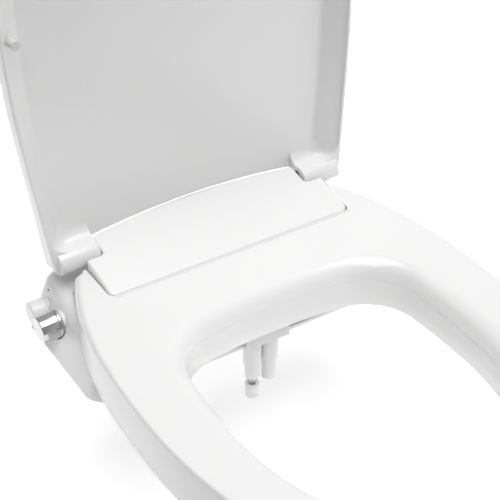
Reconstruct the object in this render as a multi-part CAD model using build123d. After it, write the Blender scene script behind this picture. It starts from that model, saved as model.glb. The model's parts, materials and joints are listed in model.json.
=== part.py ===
"""Water-powered bidet toilet seat: base with two hand-turned valves, telescoping twin nozzles,
soft-close seat and soft-close lid.

Frame: millimetres, +Z up, +Y to the cistern, +X to the right of someone who faces the seat's front.
The origin is midway between the two seat bolts, on the face of the toilet rim.
The lid and the seat are drawn closed; the lid is then turned to its resting, open angle.
"""
from build123d import *
import os
from math import asin, cos, degrees, radians, sin, sqrt

# ---------------------------------------------------------------- driving dimensions
# seat ring
seat_half_width = 175.5
seat_widest_y = -187.0
seat_front_y = -470.0
seat_side_radius = 900.0
seat_shoulder_y = -95.0
seat_shoulder_radius = 300.0
seat_horn_y = 15.0
seat_top_z = 68.6
seat_skirt_z = 22.0
seat_wall = 3.0
seat_outer_round = 8.0
seat_inner_round = 16.0
horn_corner_radius = 9.0
pan_thickness = 2.5
pan_recess = 1.5
pan_rear_gap = 4.0

# opening in the seat
opening_half_width = 117.0
opening_widest_y = -219.0
opening_rear_y = -100.0
opening_rear_radius = 500.0
opening_side_radius = 700.0
opening_corner_radius = 52.0
opening_front_y = -400.0
opening_corner_step = 9.0

# what the seat carries below: a pan, bumpers, and a boss for each hinge shaft
seat_bumper_rows = (-150.0, -350.0)
seat_bumper_width, seat_bumper_length, seat_bumper_corner = 16.0, 40.0, 7.0
seat_bumper_low_z = 0.2
shaft_boss_length, shaft_boss_wall, shaft_boss_end = 12.0, 4.0, 2.0

# lid
lid_edge_inset = 5.0
lid_shoulder_radius = 6000.0
lid_depth = 23.0
lid_panel = 3.6
lid_wall = 3.0
lid_slope = 16.0
lid_edge_round = 9.0
lid_gap = 2.5
lid_open_angle = 95.0
lid_barrel_radius = 10.75
lid_barrel_inner_x = 108.5
lid_barrel_outer_x = 148.0
lid_barrel_end = 4.0
lid_corner_radius = 6.0
lid_hollow_rear_y = 14.0
lid_arch_step, lid_arch_rise = 10.0, 5.5
lid_bumper_radius, lid_bumper_inset, lid_bumper_height = 4.0, 9.0, 14.0
lid_bumper_rows = (-187.0, -360.0)

# hinge axes, both along X
seat_axis_y, seat_axis_z = -1.0, 57.0
lid_axis_y, lid_axis_z = 26.5, 74.8
seat_shaft_radius = 4.0
lid_pin_radius = 3.0
bush_radius = 4.8
seat_damper_radius, seat_damper_length, seat_damper_end = 9.0, 22.0, 18.0
seat_damper_outset = 20.0
cradle_half_depth, cradle_floor_z = 12.0, 30.0
lid_damper_radius = 7.9
pin_lug_length, pin_lug_half_depth, pin_lug_floor_z = 19.0, 8.0, 45.0
pin_in_lug, pin_in_barrel = 15.0, 27.5

# centre cover and hinge housing
cover_half_width = 125.0
cover_front_y = -32.4
cover_rear_y = 38.0
cover_rear_bulge = 9.0
cover_rear_half_width = 107.0
cover_skirt_z = 62.0
cover_corner_radius = 7.0
cover_front_gap = 0.5
barrel_air = 1.5
pin_slot_air = 0.6
cover_top = [(-32.4, 68.4), (-5.0, 74.6), (16.0, 79.0), (48.0, 85.5)]
cover_wall = 2.5
housing_wall = 2.5

# base
base_half_width = 172.0
base_rear_y = 52.0
base_front_y = -84.0
base_underside_z = 1.0
base_wall = 2.5
base_side_lean = 0.43
base_rear_corner, base_front_corner = 14.0, 20.0
deck_line = [(56.0, 54.0), (20.0, 48.0), (-15.0, 41.0), (-48.0, 30.0), (-66.0, 18.8), (-86.0, 2.5)]
tray_thickness = 3.0
shaft_trough_radius = 20.6
pad_places = [(-140.0, -50.0), (-140.0, 38.0), (140.0, -50.0), (140.0, 38.0)]
pad_length, pad_width = 36.0, 10.0

# rim bolts
bolt_pitch = 140.0
bolt_radius = 4.0
bolt_tip_z = -60.0
bolt_neck_radius = 5.0
bolt_head_radius, bolt_head_height = 9.0, 5.0
washer_radius, washer_thickness = 14.0, 1.5
gasket_outer_radius, gasket_inner_radius = 20.0, 14.0
slot_length, slot_width = 44.0, 22.0

# knobs and valve, on the left side
pressure_knob_y, pressure_knob_z = 5.5, 28.0
pressure_knob_end_x, pressure_knob_radius, pressure_knob_tip_radius = -180.5, 13.0, 11.6
mode_knob_y, mode_knob_z = 33.7, 25.0
mode_knob_end_x, mode_knob_radius = -175.5, 11.2
knob_seat_x = -160.0
knob_wall = 2.0
knob_edge = 1.0
knob_land, knob_land_depth, knob_air = 3.0, 3.2, 0.8
spindle_radius, spindle_boss_wall = 3.0, 2.4
seal_width, seal_start, seal_end = 2.0, 0.2, 0.6
cartridge_radius, cartridge_length, cartridge_start = 6.6, 10.0, 0.8
valve_width, valve_margin_y, valve_low_z, valve_margin_z = 26.0, 10.5, 6.0, 4.0

# nozzles, hanging straight down into the bowl
nozzle_pitch = 18.0
nozzle_y = -76.0
sleeve_radius, sleeve_bottom_z = 8.7, -26.0
guide_radius, rear_guide_bottom_z, front_guide_bottom_z = 7.0, -43.0, -51.0
rod_radius, rod_bore = 3.35, 1.4
rear_head_radius, rear_head_length, rear_head_bottom_z = 6.6, 16.0, -68.5
front_head_radius, front_head_length, front_head_bottom_z = 6.0, 16.0, -49.5
nozzle_top_z = 14.0
nozzle_stroke = 30.0
guide_bore_radius, guide_floor, guide_fit = 5.4, 4.0, 0.15
casing_margin, casing_front, casing_back, casing_wall = 5.0, 13.0, 16.0, 2.0
casing_top_z = nozzle_top_z + 5.0
head_round, head_socket, head_bore_floor = 3.0, 5.0, 4.0
spray_hole_radius, spray_hole_pitch, spray_hole_height = 0.6, 2.0, 4.5
piston_thickness = 3.0
spring_inner, spring_outer = 0.5, 1.4

# water inlet, G 1/2 male
inlet_x, inlet_z = -128.0, 18.0
inlet_thread_radius, inlet_bore_radius, inlet_length = 10.4, 6.0, 14.0
inlet_neck_radius, inlet_thread_gap = 9.4, 1.0
inlet_collar_radius, inlet_collar_width = 12.5, 2.5
strainer_start, strainer_thickness = 2.4, 2.0
tube_radius, tube_bore_radius = 3.0, 2.0

# tray screws, and index marks beside the mode knob and on the pressure knob
screw_radius, screw_head_radius, screw_length = 1.6, 3.4, 12.0
screw_head_height, screw_boss_radius = 1.6, 4.0
screw_places = [(150.0, -30.0), (-150.0, -30.0), (108.0, 40.0), (-108.0, 40.0), (46.0, -52.0), (-46.0, -52.0)]
mark_radius, mark_depth = 1.1, 0.8
mark_y, mark_z = 37.0, 41.5
dot_angle, dot_radius, dot_from_tip = -38.0, 0.8, 3.2

# clearances
running = 0.05     # radial, shaft in its bore
slip = 0.3         # between parts of one assembly
swing = 0.7        # seat past the cover
seat_over_base = 1.5
far = 260.0        # reaches past everything


# ---------------------------------------------------------------- small helpers
def block(x0, x1, y0, y1, z0, z1):
    """A box between two corners."""
    return Pos((x0 + x1) / 2, (y0 + y1) / 2, (z0 + z1) / 2) * Box(x1 - x0, y1 - y0, z1 - z0)


def bar_x(y, z, radius, x0, x1):
    """A round bar along X."""
    return Pos((x0 + x1) / 2, y, z) * Rot(0, 90, 0) * Cylinder(radius, abs(x1 - x0))


def bar_y(x, z, radius, y0, y1):
    """A round bar along Y."""
    return Pos(x, (y0 + y1) / 2, z) * Rot(90, 0, 0) * Cylinder(radius, abs(y1 - y0))


def bar_z(x, y, radius, z0, z1):
    """A round bar along Z."""
    return Pos(x, y, (z0 + z1) / 2) * Cylinder(radius, abs(z1 - z0))


def ring_z(x, y, outer, inner, z0, z1):
    """A round tube along Z."""
    return bar_z(x, y, outer, z0, z1) - bar_z(x, y, inner, z0 - 1, z1 + 1)


def ring_x(y, z, outer, inner, x0, x1):
    """A round tube along X."""
    return bar_x(y, z, outer, x0, x1) - bar_x(y, z, inner, min(x0, x1) - 1, max(x0, x1) + 1)


def slab(face, z0, z1):
    """A face drawn in plan, raised from z0 to z1."""
    return Pos(0, 0, z0) * extrude(face, z1 - z0, dir=(0, 0, 1))


def across(points, low_z, half_width, drop=0.0):
    """The space under a side-view curve, from low_z up to the curve less drop, over both sides."""
    curve = [(y, z - drop) for y, z in points]
    first, last = curve[0], curve[-1]
    with BuildPart() as solid:
        with BuildSketch(Plane.YZ):
            with BuildLine():
                Spline(*curve)
                Polyline(last, (last[0], low_z), (first[0], low_z), first)
            make_face()
        extrude(amount=half_width, both=True)
    return solid.part


def side_points(grow, shoulder_radius, rear_y):
    """Centres, angles and radii of the two arcs that bound one long side of the seat or lid."""
    turn = asin((seat_shoulder_y - seat_widest_y) / seat_side_radius)
    near = (seat_half_width - seat_side_radius, seat_widest_y)
    step = seat_side_radius - shoulder_radius
    rear = (near[0] + step * cos(turn), near[1] + step * sin(turn))
    end = asin((rear_y - rear[1]) / (shoulder_radius + grow))
    return near, rear, degrees(turn), degrees(end)


def outline(grow=0.0, shoulder_radius=seat_shoulder_radius, rear_y=seat_horn_y, corner=0.0):
    """Plan of the seat or lid: two arcs a side, half an ellipse in front, straight at the rear."""
    near, rear, turn, end = side_points(grow, shoulder_radius, rear_y + grow)
    depth = seat_widest_y - seat_front_y + grow
    with BuildSketch() as plan:
        with BuildLine():
            CenterArc(near, seat_side_radius + grow, 0, turn)
            side = CenterArc(rear, shoulder_radius + grow, turn, end - turn)
            mirror(about=Plane.YZ)
            tail = side @ 1
            Line((tail.X, tail.Y), (-tail.X, tail.Y))
            EllipticalCenterArc((0, seat_widest_y), seat_half_width + grow, depth, 180, arc_size=180)
        make_face()
        if corner > 0:
            fillet(plan.vertices().group_by(Axis.Y)[-1], corner)
    return plan.sketch


def opening(grow=0.0):
    """Plan of the opening in the seat: bowed rear edge, bowed sides, half an ellipse in front."""
    half = opening_half_width + grow
    rear_y = opening_rear_y + grow
    side_r = opening_side_radius + grow
    rear_r = opening_rear_radius + grow
    depth = opening_widest_y - opening_front_y + grow
    rear_x = half - opening_corner_step
    side_x = half - side_r
    side_y = opening_widest_y + sqrt(side_r ** 2 - (rear_x - side_x) ** 2)
    rear_end_y = rear_y - rear_r + sqrt(rear_r ** 2 - rear_x ** 2)
    corner_y = min(side_y, rear_end_y)
    corner_x = side_x + sqrt(side_r ** 2 - (corner_y - opening_widest_y) ** 2)
    rise = (corner_y - opening_widest_y) / 2
    bow_x = side_x + sqrt(side_r ** 2 - rise ** 2)
    with BuildSketch() as plan:
        with BuildLine():
            ThreePointArc((half, opening_widest_y), (bow_x, opening_widest_y + rise), (corner_x, corner_y))
            mirror(about=Plane.YZ)
            ThreePointArc((corner_x, corner_y), (0, rear_y), (-corner_x, corner_y))
            EllipticalCenterArc((0, opening_widest_y), half, depth, 180, arc_size=180)
        make_face()
        fillet(plan.vertices().group_by(Axis.Y)[-1], opening_corner_radius + grow)
    return plan.sketch


def seat_reach(gap):
    """Distance from the seat's axis to the notch edge in the seat, less a gap."""
    front = hypot_yz(cover_front_y - swing - seat_axis_y, seat_top_z - seat_axis_z)
    return front - gap


def hypot_yz(dy, dz):
    """Length of a step in the YZ plane."""
    return sqrt(dy * dy + dz * dz)


def notch(grow=0.0):
    """What the seat leaves free for the cover: a swept cylinder about its axis, open at the rear."""
    half = cover_half_width + swing + grow
    drum = bar_x(seat_axis_y, seat_axis_z, seat_reach(0) + grow, -half, half)
    behind = block(-half, half, seat_axis_y, seat_horn_y + 40, 0, seat_top_z + 40)
    return drum + behind


def open_lid(part):
    """Turns a piece of the lid from closed to its resting, open angle."""
    pivot = Pos(0, lid_axis_y, lid_axis_z)
    return pivot * Rot(-lid_open_angle, 0, 0) * Pos(0, -lid_axis_y, -lid_axis_z) * part


def tube(points, radii, outer, inner):
    """A hollow tube along straight runs joined by arcs."""
    path = FilletPolyline(*points, radius=radii)
    start = Plane(origin=path @ 0, z_dir=path % 0)
    skin = sweep(start * Circle(outer), path=path)
    return skin - sweep(start * Circle(inner), path=path)


# ---------------------------------------------------------------- seat
def seat_lower_cut():
    """The space under the seat at the rear, which follows the top of the base."""
    low_line = [(y, z + seat_over_base) for y, z in deck_line]
    return across(low_line, -20, far)


def rim_edges(part, z, inside):
    """Edges of a flat top face: those of the opening, or those of the outer outline."""
    level = part.edges().filter_by_position(Axis.Z, z - 0.01, z + 0.01)
    margin = 4.0

    def in_opening(edge):
        middle = edge @ 0.5
        ahead = opening_front_y - margin < middle.Y < opening_rear_y + margin
        return ahead and abs(middle.X) < opening_half_width + margin

    return [edge for edge in level if in_opening(edge) == inside]


def seat_shell():
    """One-piece hollow seat ring, open below, with a boss for each hinge shaft."""
    body = slab(outline(corner=horn_corner_radius) - opening(), seat_skirt_z, seat_top_z)
    body = body.fillet(seat_outer_round, rim_edges(body, seat_top_z, False))
    body = body.fillet(seat_inner_round, rim_edges(body, seat_top_z, True))
    inner_top = seat_top_z - seat_wall
    plan = outline(-seat_wall, corner=horn_corner_radius - seat_wall) - opening(seat_wall)
    inner = slab(plan, seat_skirt_z - 1, inner_top)
    inner = inner.chamfer(seat_outer_round - seat_wall, None, rim_edges(inner, inner_top, False))
    inner = inner.fillet(seat_inner_round - seat_wall, rim_edges(inner, inner_top, True))
    boss_in = cover_half_width + swing
    boss_out = boss_in + shaft_boss_length
    boss_radius = seat_shaft_radius + shaft_boss_wall
    inner = inner - notch(seat_wall)
    for side in (-1, 1):
        inner = inner - bar_x(seat_axis_y, seat_axis_z, boss_radius, side * boss_in, side * boss_out)
    shell = body - inner - notch() - seat_lower_cut()
    for side in (-1, 1):
        shell = shell - bar_x(seat_axis_y, seat_axis_z, seat_shaft_radius + running,
                              side * (boss_in - 1), side * (boss_out - shaft_boss_end))
    return shell


def pan_plan():
    """Plan of the seat's underside pan, ahead of where the skirt rises over the base."""
    ring = outline(-seat_wall - slip) - opening(seat_wall + slip)
    front = seat_shoulder_y - pan_rear_gap
    keep = Pos(0, front - far) * Rectangle(2 * far, 2 * far)
    return ring & keep


def half_at(y, half_width, widest_y, front_y):
    """Half width of the seat or its opening at y: constant behind the widest place, half an ellipse ahead."""
    run = max(0.0, (y - widest_y) / (front_y - widest_y))
    return half_width * sqrt(1 - run ** 2)


def bumper_places():
    """Centres of the four seat bumpers, on the middle of the ring."""
    places = []
    for y in seat_bumper_rows:
        outer = half_at(y, seat_half_width, seat_widest_y, seat_front_y)
        inner = half_at(y, opening_half_width, opening_widest_y, opening_front_y)
        places += [(side * (outer + inner) / 2, y) for side in (-1, 1)]
    return places


def seat_parts():
    """Everything that turns with the seat."""
    pan_top = seat_skirt_z + pan_recess + pan_thickness
    pan = slab(pan_plan(), pan_top - pan_thickness, pan_top)
    bumpers = []
    for x, y in bumper_places():
        foot = Pos(x, y, 0) * block(-seat_bumper_width / 2, seat_bumper_width / 2, -seat_bumper_length / 2,
                                    seat_bumper_length / 2, seat_bumper_low_z, pan_top - pan_thickness)
        bumpers.append(fillet(foot.edges().filter_by(Axis.Z), seat_bumper_corner))
    shafts = []
    bushes = []
    for side in (-1, 1):
        tip = side * (cover_half_width + swing + shaft_boss_length - shaft_boss_end - slip)
        tail = side * (cover_half_width - seat_damper_outset - seat_damper_length + slip)
        shafts.append(bar_x(seat_axis_y, seat_axis_z, seat_shaft_radius, tail, tip))
        bushes.append(ring_x(seat_axis_y, seat_axis_z, bush_radius, seat_shaft_radius + running,
                             side * (cover_half_width - cover_wall - housing_wall - 2 * slip),
                             side * (cover_half_width + swing - slip)))
    return {"seat_shell": seat_shell(), "seat_pan": pan, "seat_bumpers": Compound(children=bumpers),
            "seat_hinge_shaft_left": shafts[0], "seat_hinge_shaft_right": shafts[1],
            "seat_hinge_bushes": Compound(children=bushes)}


# ---------------------------------------------------------------- lid
def lid_arch(inset):
    """Plan of what is cut from the lid's rear edge so that it clears the centre cover."""
    half = lid_barrel_inner_x - inset
    with BuildSketch() as plan:
        with BuildLine():
            edge = lid_axis_y - lid_arch_step + inset
            ThreePointArc((half, edge), (0, edge - lid_arch_rise), (-half, edge))
            Polyline((-half, edge), (-half, far), (half, far), (half, edge))
        make_face()
    return plan.sketch


def lid_shell():
    """Dished lid with a sloped inner border and a hinge barrel at each rear corner, closed."""
    rim_z = seat_top_z + lid_gap
    top_z = rim_z + lid_depth
    rear_y = lid_axis_y + lid_barrel_radius
    plan = outline(-lid_edge_inset, lid_shoulder_radius, rear_y + lid_edge_inset, corner=lid_corner_radius)
    body = slab(plan, rim_z, top_z)
    crest = body.edges().filter_by_position(Axis.Z, top_z - 0.01, top_z + 0.01)
    body = body.fillet(lid_edge_round, crest)
    depth = lid_depth - lid_panel
    inset = lid_edge_inset + lid_wall
    hollow_plan = outline(-inset, lid_shoulder_radius, lid_hollow_rear_y + inset)
    hollow = slab(hollow_plan, rim_z - 1, rim_z + depth)
    ceiling = hollow.edges().filter_by_position(Axis.Z, rim_z + depth - 0.01, rim_z + depth + 0.01)
    hollow = hollow.chamfer(lid_slope, None, ceiling)
    rear_gap = block(-lid_barrel_inner_x, lid_barrel_inner_x, -30, far, rim_z - 1, rim_z + depth)
    cut = slab(lid_arch(0.0), rim_z - 20, top_z + 20)
    relief_x = cover_half_width + barrel_air
    relief_y = lid_axis_y - sqrt(lid_barrel_radius ** 2 - (lid_axis_z - rim_z) ** 2)
    relief = block(-relief_x, relief_x, -30, relief_y, rim_z - 1, rim_z + depth)
    shell = body - hollow - rear_gap - cut - relief
    for side in (-1, 1):
        barrel = bar_x(lid_axis_y, lid_axis_z, lid_barrel_radius,
                       side * lid_barrel_inner_x, side * lid_barrel_outer_x)
        bore = bar_x(lid_axis_y, lid_axis_z, lid_damper_radius + slip / 3,
                     side * (lid_barrel_inner_x - 1), side * (lid_barrel_outer_x - lid_barrel_end))
        shell = shell + barrel - bore
    return shell


def lid_parts():
    """Everything that turns with the lid, at its open resting angle."""
    rim_z = seat_top_z + lid_gap
    shell = lid_shell()
    bumpers = []
    for y in lid_bumper_rows:
        wall_x = half_at(y, seat_half_width, seat_widest_y, seat_front_y) - lid_edge_inset - lid_wall
        for side in (-1, 1):
            post = bar_z(side * (wall_x - lid_bumper_inset), y, lid_bumper_radius,
                         seat_top_z + slip, rim_z + lid_bumper_height)
            bumpers.append(post - shell)
    dampers = []
    for side in (-1, 1):
        dampers.append(ring_x(lid_axis_y, lid_axis_z, lid_damper_radius, lid_pin_radius + running,
                              side * (lid_barrel_inner_x + 2 * slip),
                              side * (lid_barrel_outer_x - lid_barrel_end - slip)))
    return {"lid_shell": open_lid(shell),
            "lid_bumpers": open_lid(Compound(children=bumpers)),
            "lid_damper_left": open_lid(dampers[0]), "lid_damper_right": open_lid(dampers[1])}


# ---------------------------------------------------------------- base
def base_plan(inset):
    """Plan of the base: a rounded rectangle, wider than the hinge end of the seat."""
    width = 2 * (base_half_width - inset)
    depth = base_rear_y - base_front_y - 2 * inset
    middle = (base_rear_y + base_front_y) / 2
    with BuildSketch() as plan:
        with Locations((0, middle)):
            Rectangle(width, depth)
        corners = plan.vertices().group_by(Axis.Y)
        fillet(corners[-1], base_rear_corner - inset)
        fillet(plan.vertices().group_by(Axis.Y)[0], base_front_corner - inset)
    return plan.sketch


def base_solid(inset, low_z):
    """The base's outside shape, or its inside when inset by the wall."""
    high = max(z for _, z in deck_line)
    lean = base_side_lean * high
    half = base_half_width - inset
    with BuildPart() as flanks:
        with BuildSketch(Plane.XZ):
            Polygon((-half, 0), (half, 0), (half - lean, high), (-half + lean, high), align=None)
        extrude(amount=far, both=True)
    solid = slab(base_plan(inset), low_z, high + 4) & flanks.part & across(deck_line, -20, far, inset)
    trough = bar_x(seat_axis_y, seat_axis_z, shaft_trough_radius + inset, -far, far)
    return solid - (trough & slab(outline(seat_over_base + inset), 0, 90))


def cover_plan(inset):
    """Plan of the centre cover, or of what fits inside it: a bite each side for the lid barrels."""
    half = cover_half_width - inset
    rear_half = cover_rear_half_width - inset
    notch_y = lid_axis_y - lid_barrel_radius - barrel_air - inset
    front = cover_front_y + inset
    back = cover_rear_y - inset
    with BuildSketch() as face:
        with BuildLine():
            Polyline((rear_half, back), (rear_half, notch_y), (half, notch_y), (half, front),
                     (-half, front), (-half, notch_y), (-rear_half, notch_y), (-rear_half, back))
            ThreePointArc((-rear_half, back), (0, back + cover_rear_bulge), (rear_half, back))
        make_face()
        fillet(face.vertices().group_by(Axis.Y)[0], cover_corner_radius - inset)
    return face.sketch


def under_cover(inset, low_z, front_gap):
    """The space inside the cover's shape, inset all round and behind the seat's notch."""
    space = slab(cover_plan(inset), low_z, seat_top_z + 30) & across(cover_top, low_z, far, inset)
    drum = bar_x(seat_axis_y, seat_axis_z, seat_reach(front_gap), -far, far)
    behind = block(-far, far, seat_axis_y, far, -far, far)
    return space & (drum + behind)


def centre_cover():
    """Domed cover over the hinge housing, slotted from below for the lid's pins."""
    shell = under_cover(0.0, cover_skirt_z, cover_front_gap) - under_cover(cover_wall, 0, cover_front_gap + 2)
    half = lid_pin_radius + pin_slot_air
    slots = block(-far, far, lid_axis_y - half, lid_axis_y + half, 0, lid_axis_z)
    slots = slots + bar_x(lid_axis_y, lid_axis_z, half, -far, far)
    middle = cover_rear_half_width - 2 * cover_wall - slip
    return shell - (slots - block(-middle, middle, -far, far, -far, far))


def mark_centre_x():
    """The base's left face at the height of the index mark."""
    return -(base_half_width - base_side_lean * mark_z)


def tray_screws():
    """Screws that hold the tray up to the base's bosses, heads flush in the tray."""
    screws = []
    for x, y in screw_places:
        head = bar_z(x, y, screw_head_radius, base_underside_z, base_underside_z + screw_head_height)
        screws.append(head + bar_z(x, y, screw_radius, base_underside_z, base_underside_z + screw_length))
    return Compound(children=screws)


def side_block(side, x0, x1, y, half_depth, z0, z1):
    """A box from x0 to x1 out from the centre plane on one side, centred on y."""
    low, high = sorted((side * x0, side * x1))
    return block(low, high, y - half_depth, y + half_depth, z0, z1)


def hinge_parts():
    """The centre cover, the hinge housing in it, the seat's dampers and the lid's pins."""
    fit = cover_wall + slip
    front_gap = cover_front_gap + fit
    outer = under_cover(fit, cradle_floor_z, front_gap)
    housing = outer - under_cover(fit + housing_wall, 0, front_gap + housing_wall) - base_solid(0, 0)
    wall_x = cover_half_width - fit
    damper_out = cover_half_width - seat_damper_outset
    damper_step = damper_out - seat_damper_length
    damper_in = damper_step - seat_damper_end
    lug_out = cover_rear_half_width - fit - housing_wall / 2
    lug_in = lug_out - pin_lug_length
    seat_dampers, lid_pins = [], []
    for side in (-1, 1):
        cradle = side_block(side, damper_in - 3, damper_out + 1, seat_axis_y, cradle_half_depth,
                            cradle_floor_z, seat_axis_z) & outer
        cradle = cradle - bar_x(seat_axis_y, seat_axis_z, seat_damper_radius + slip / 3, 0, side * far)
        lug = side_block(side, lug_in, lug_out, lid_axis_y, pin_lug_half_depth,
                         pin_lug_floor_z, lid_axis_z + far) & outer
        housing = housing + (cradle - base_solid(0, 0)) + (lug - base_solid(0, 0))
        housing = housing - bar_x(seat_axis_y, seat_axis_z, bush_radius + running,
                                  side * (wall_x - 2 * housing_wall), side * far)
        housing = housing - bar_x(lid_axis_y, lid_axis_z, lid_pin_radius + slip / 3,
                                  side * (lug_in - 1), side * far)
        ring = ring_x(seat_axis_y, seat_axis_z, seat_damper_radius, seat_shaft_radius + running,
                      side * damper_step, side * damper_out)
        end = bar_x(seat_axis_y, seat_axis_z, seat_damper_radius, side * damper_in, side * damper_step)
        seat_dampers.append(ring + end)
        lid_pins.append(bar_x(lid_axis_y, lid_axis_z, lid_pin_radius,
                              side * (lug_out - pin_in_lug), side * (lid_barrel_inner_x + pin_in_barrel)))
    return {"hinge_housing": housing, "centre_cover": centre_cover(),
            "seat_damper_left": seat_dampers[0], "seat_damper_right": seat_dampers[1],
            "lid_hinge_pin_left": lid_pins[0], "lid_hinge_pin_right": lid_pins[1]}


def base_parts():
    """The fixed casing, its tray, pads and bolts, and what the cover holds."""
    shell = base_solid(0, base_underside_z) - base_solid(base_wall, 0)
    casing = nozzle_casing_block(slip)
    shell = shell - casing
    for y, z, r in ((pressure_knob_y, pressure_knob_z, pressure_knob_radius),
                    (mode_knob_y, mode_knob_z, mode_knob_radius)):
        land = bar_x(y, z, r + knob_land, -far, knob_seat_x + knob_land_depth)
        land = land & base_solid(0, base_underside_z)
        pocket = bar_x(y, z, r + knob_air, -far, knob_seat_x + seal_start)
        hole = bar_x(y, z, cartridge_radius + slip, knob_seat_x - 1, knob_seat_x + cartridge_length)
        shell = shell + land - pocket - hole
    shell = shell - bar_y(inlet_x, inlet_z, inlet_thread_radius + slip, base_rear_y - 10, base_rear_y + 5)
    mark_x = mark_centre_x()
    shell = shell - bar_x(mark_y, mark_z, mark_radius + running, mark_x - 5, mark_x + mark_depth)
    tray_top = base_underside_z + tray_thickness
    for x, y in screw_places:
        boss = bar_z(x, y, screw_boss_radius, tray_top + slip, seat_axis_z) & base_solid(base_wall / 2, 0)
        shell = shell + boss - bar_z(x, y, screw_radius + running, 0, tray_top + screw_length)

    tray = slab(base_plan(0), base_underside_z, tray_top) & base_solid(base_wall + slip, 0)
    tray = tray - casing
    head_z = tray_top + washer_thickness
    plates, washers, heads, gaskets = [], [], [], []
    for side in (-1, 1):
        x = side * bolt_pitch / 2
        slot = SlotOverall(slot_length, slot_width)
        tray = tray - slab(Pos(x, 0) * slot, 0, 2 * tray_top)
        plate = slab(Pos(x, 0) * SlotOverall(slot_length - 2 * slip, slot_width - 2 * slip),
                     base_underside_z, tray_top)
        neck_hole = bolt_neck_radius + running
        plates.append(plate - bar_z(x, 0, neck_hole, 0, 2 * tray_top))
        washers.append(ring_z(x, 0, washer_radius, neck_hole, tray_top, head_z))
        gaskets.append(ring_z(x, 0, gasket_outer_radius, gasket_inner_radius, 0, base_underside_z))
        head = slab(Pos(x, 0) * RegularPolygon(bolt_head_radius, 6), head_z, head_z + bolt_head_height)
        neck = bar_z(x, 0, bolt_neck_radius, 0, head_z + 1)
        heads.append(head + neck + bar_z(x, 0, bolt_radius, bolt_tip_z, 1))
    for x, y in screw_places:
        tray = tray - bar_z(x, y, screw_radius + running, 0, 2 * tray_top)
        tray = tray - bar_z(x, y, screw_head_radius + running, 0, base_underside_z + screw_head_height)
    pads = [Pos(x, y, base_underside_z / 2) * Box(pad_length, pad_width, base_underside_z)
            for x, y in pad_places]

    parts = hinge_parts()
    parts["base_shell"] = shell
    parts["base_tray"] = tray
    parts["adjuster_plates"] = Compound(children=plates)
    parts["bolt_washers"] = Compound(children=washers)
    parts["bolt_gaskets"] = Compound(children=gaskets)
    parts["seat_bolts"] = Compound(children=heads)
    parts["base_pads"] = Compound(children=pads)
    parts["tray_screws"] = tray_screws()
    parts["mode_index_mark"] = bar_x(mark_y, mark_z, mark_radius, mark_x - 0.3, mark_x + mark_depth)
    return parts


# ---------------------------------------------------------------- valve, knobs and water way
def knob(y, z, outer, tip, end_x):
    """A hollow knob cap on its spindle boss, drawn as a turned shape along X."""
    base_x = knob_seat_x
    with BuildPart() as cap:
        with BuildSketch(Plane.XY):
            Polygon((base_x, 0), (base_x, outer), (end_x + knob_edge, tip), (end_x, tip - knob_edge),
                    (end_x, 0), align=None)
        revolve(axis=Axis.X)
    hollow = bar_x(0, 0, tip - knob_wall, base_x + 1, end_x + 2 * knob_wall)
    boss = bar_x(0, 0, spindle_radius + spindle_boss_wall, base_x, end_x + knob_wall)
    body = cap.part - hollow + boss
    body = body - bar_x(0, 0, spindle_radius + slip / 3, base_x + 1, end_x + 3 * knob_wall)
    return Pos(0, y, z) * body


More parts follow.
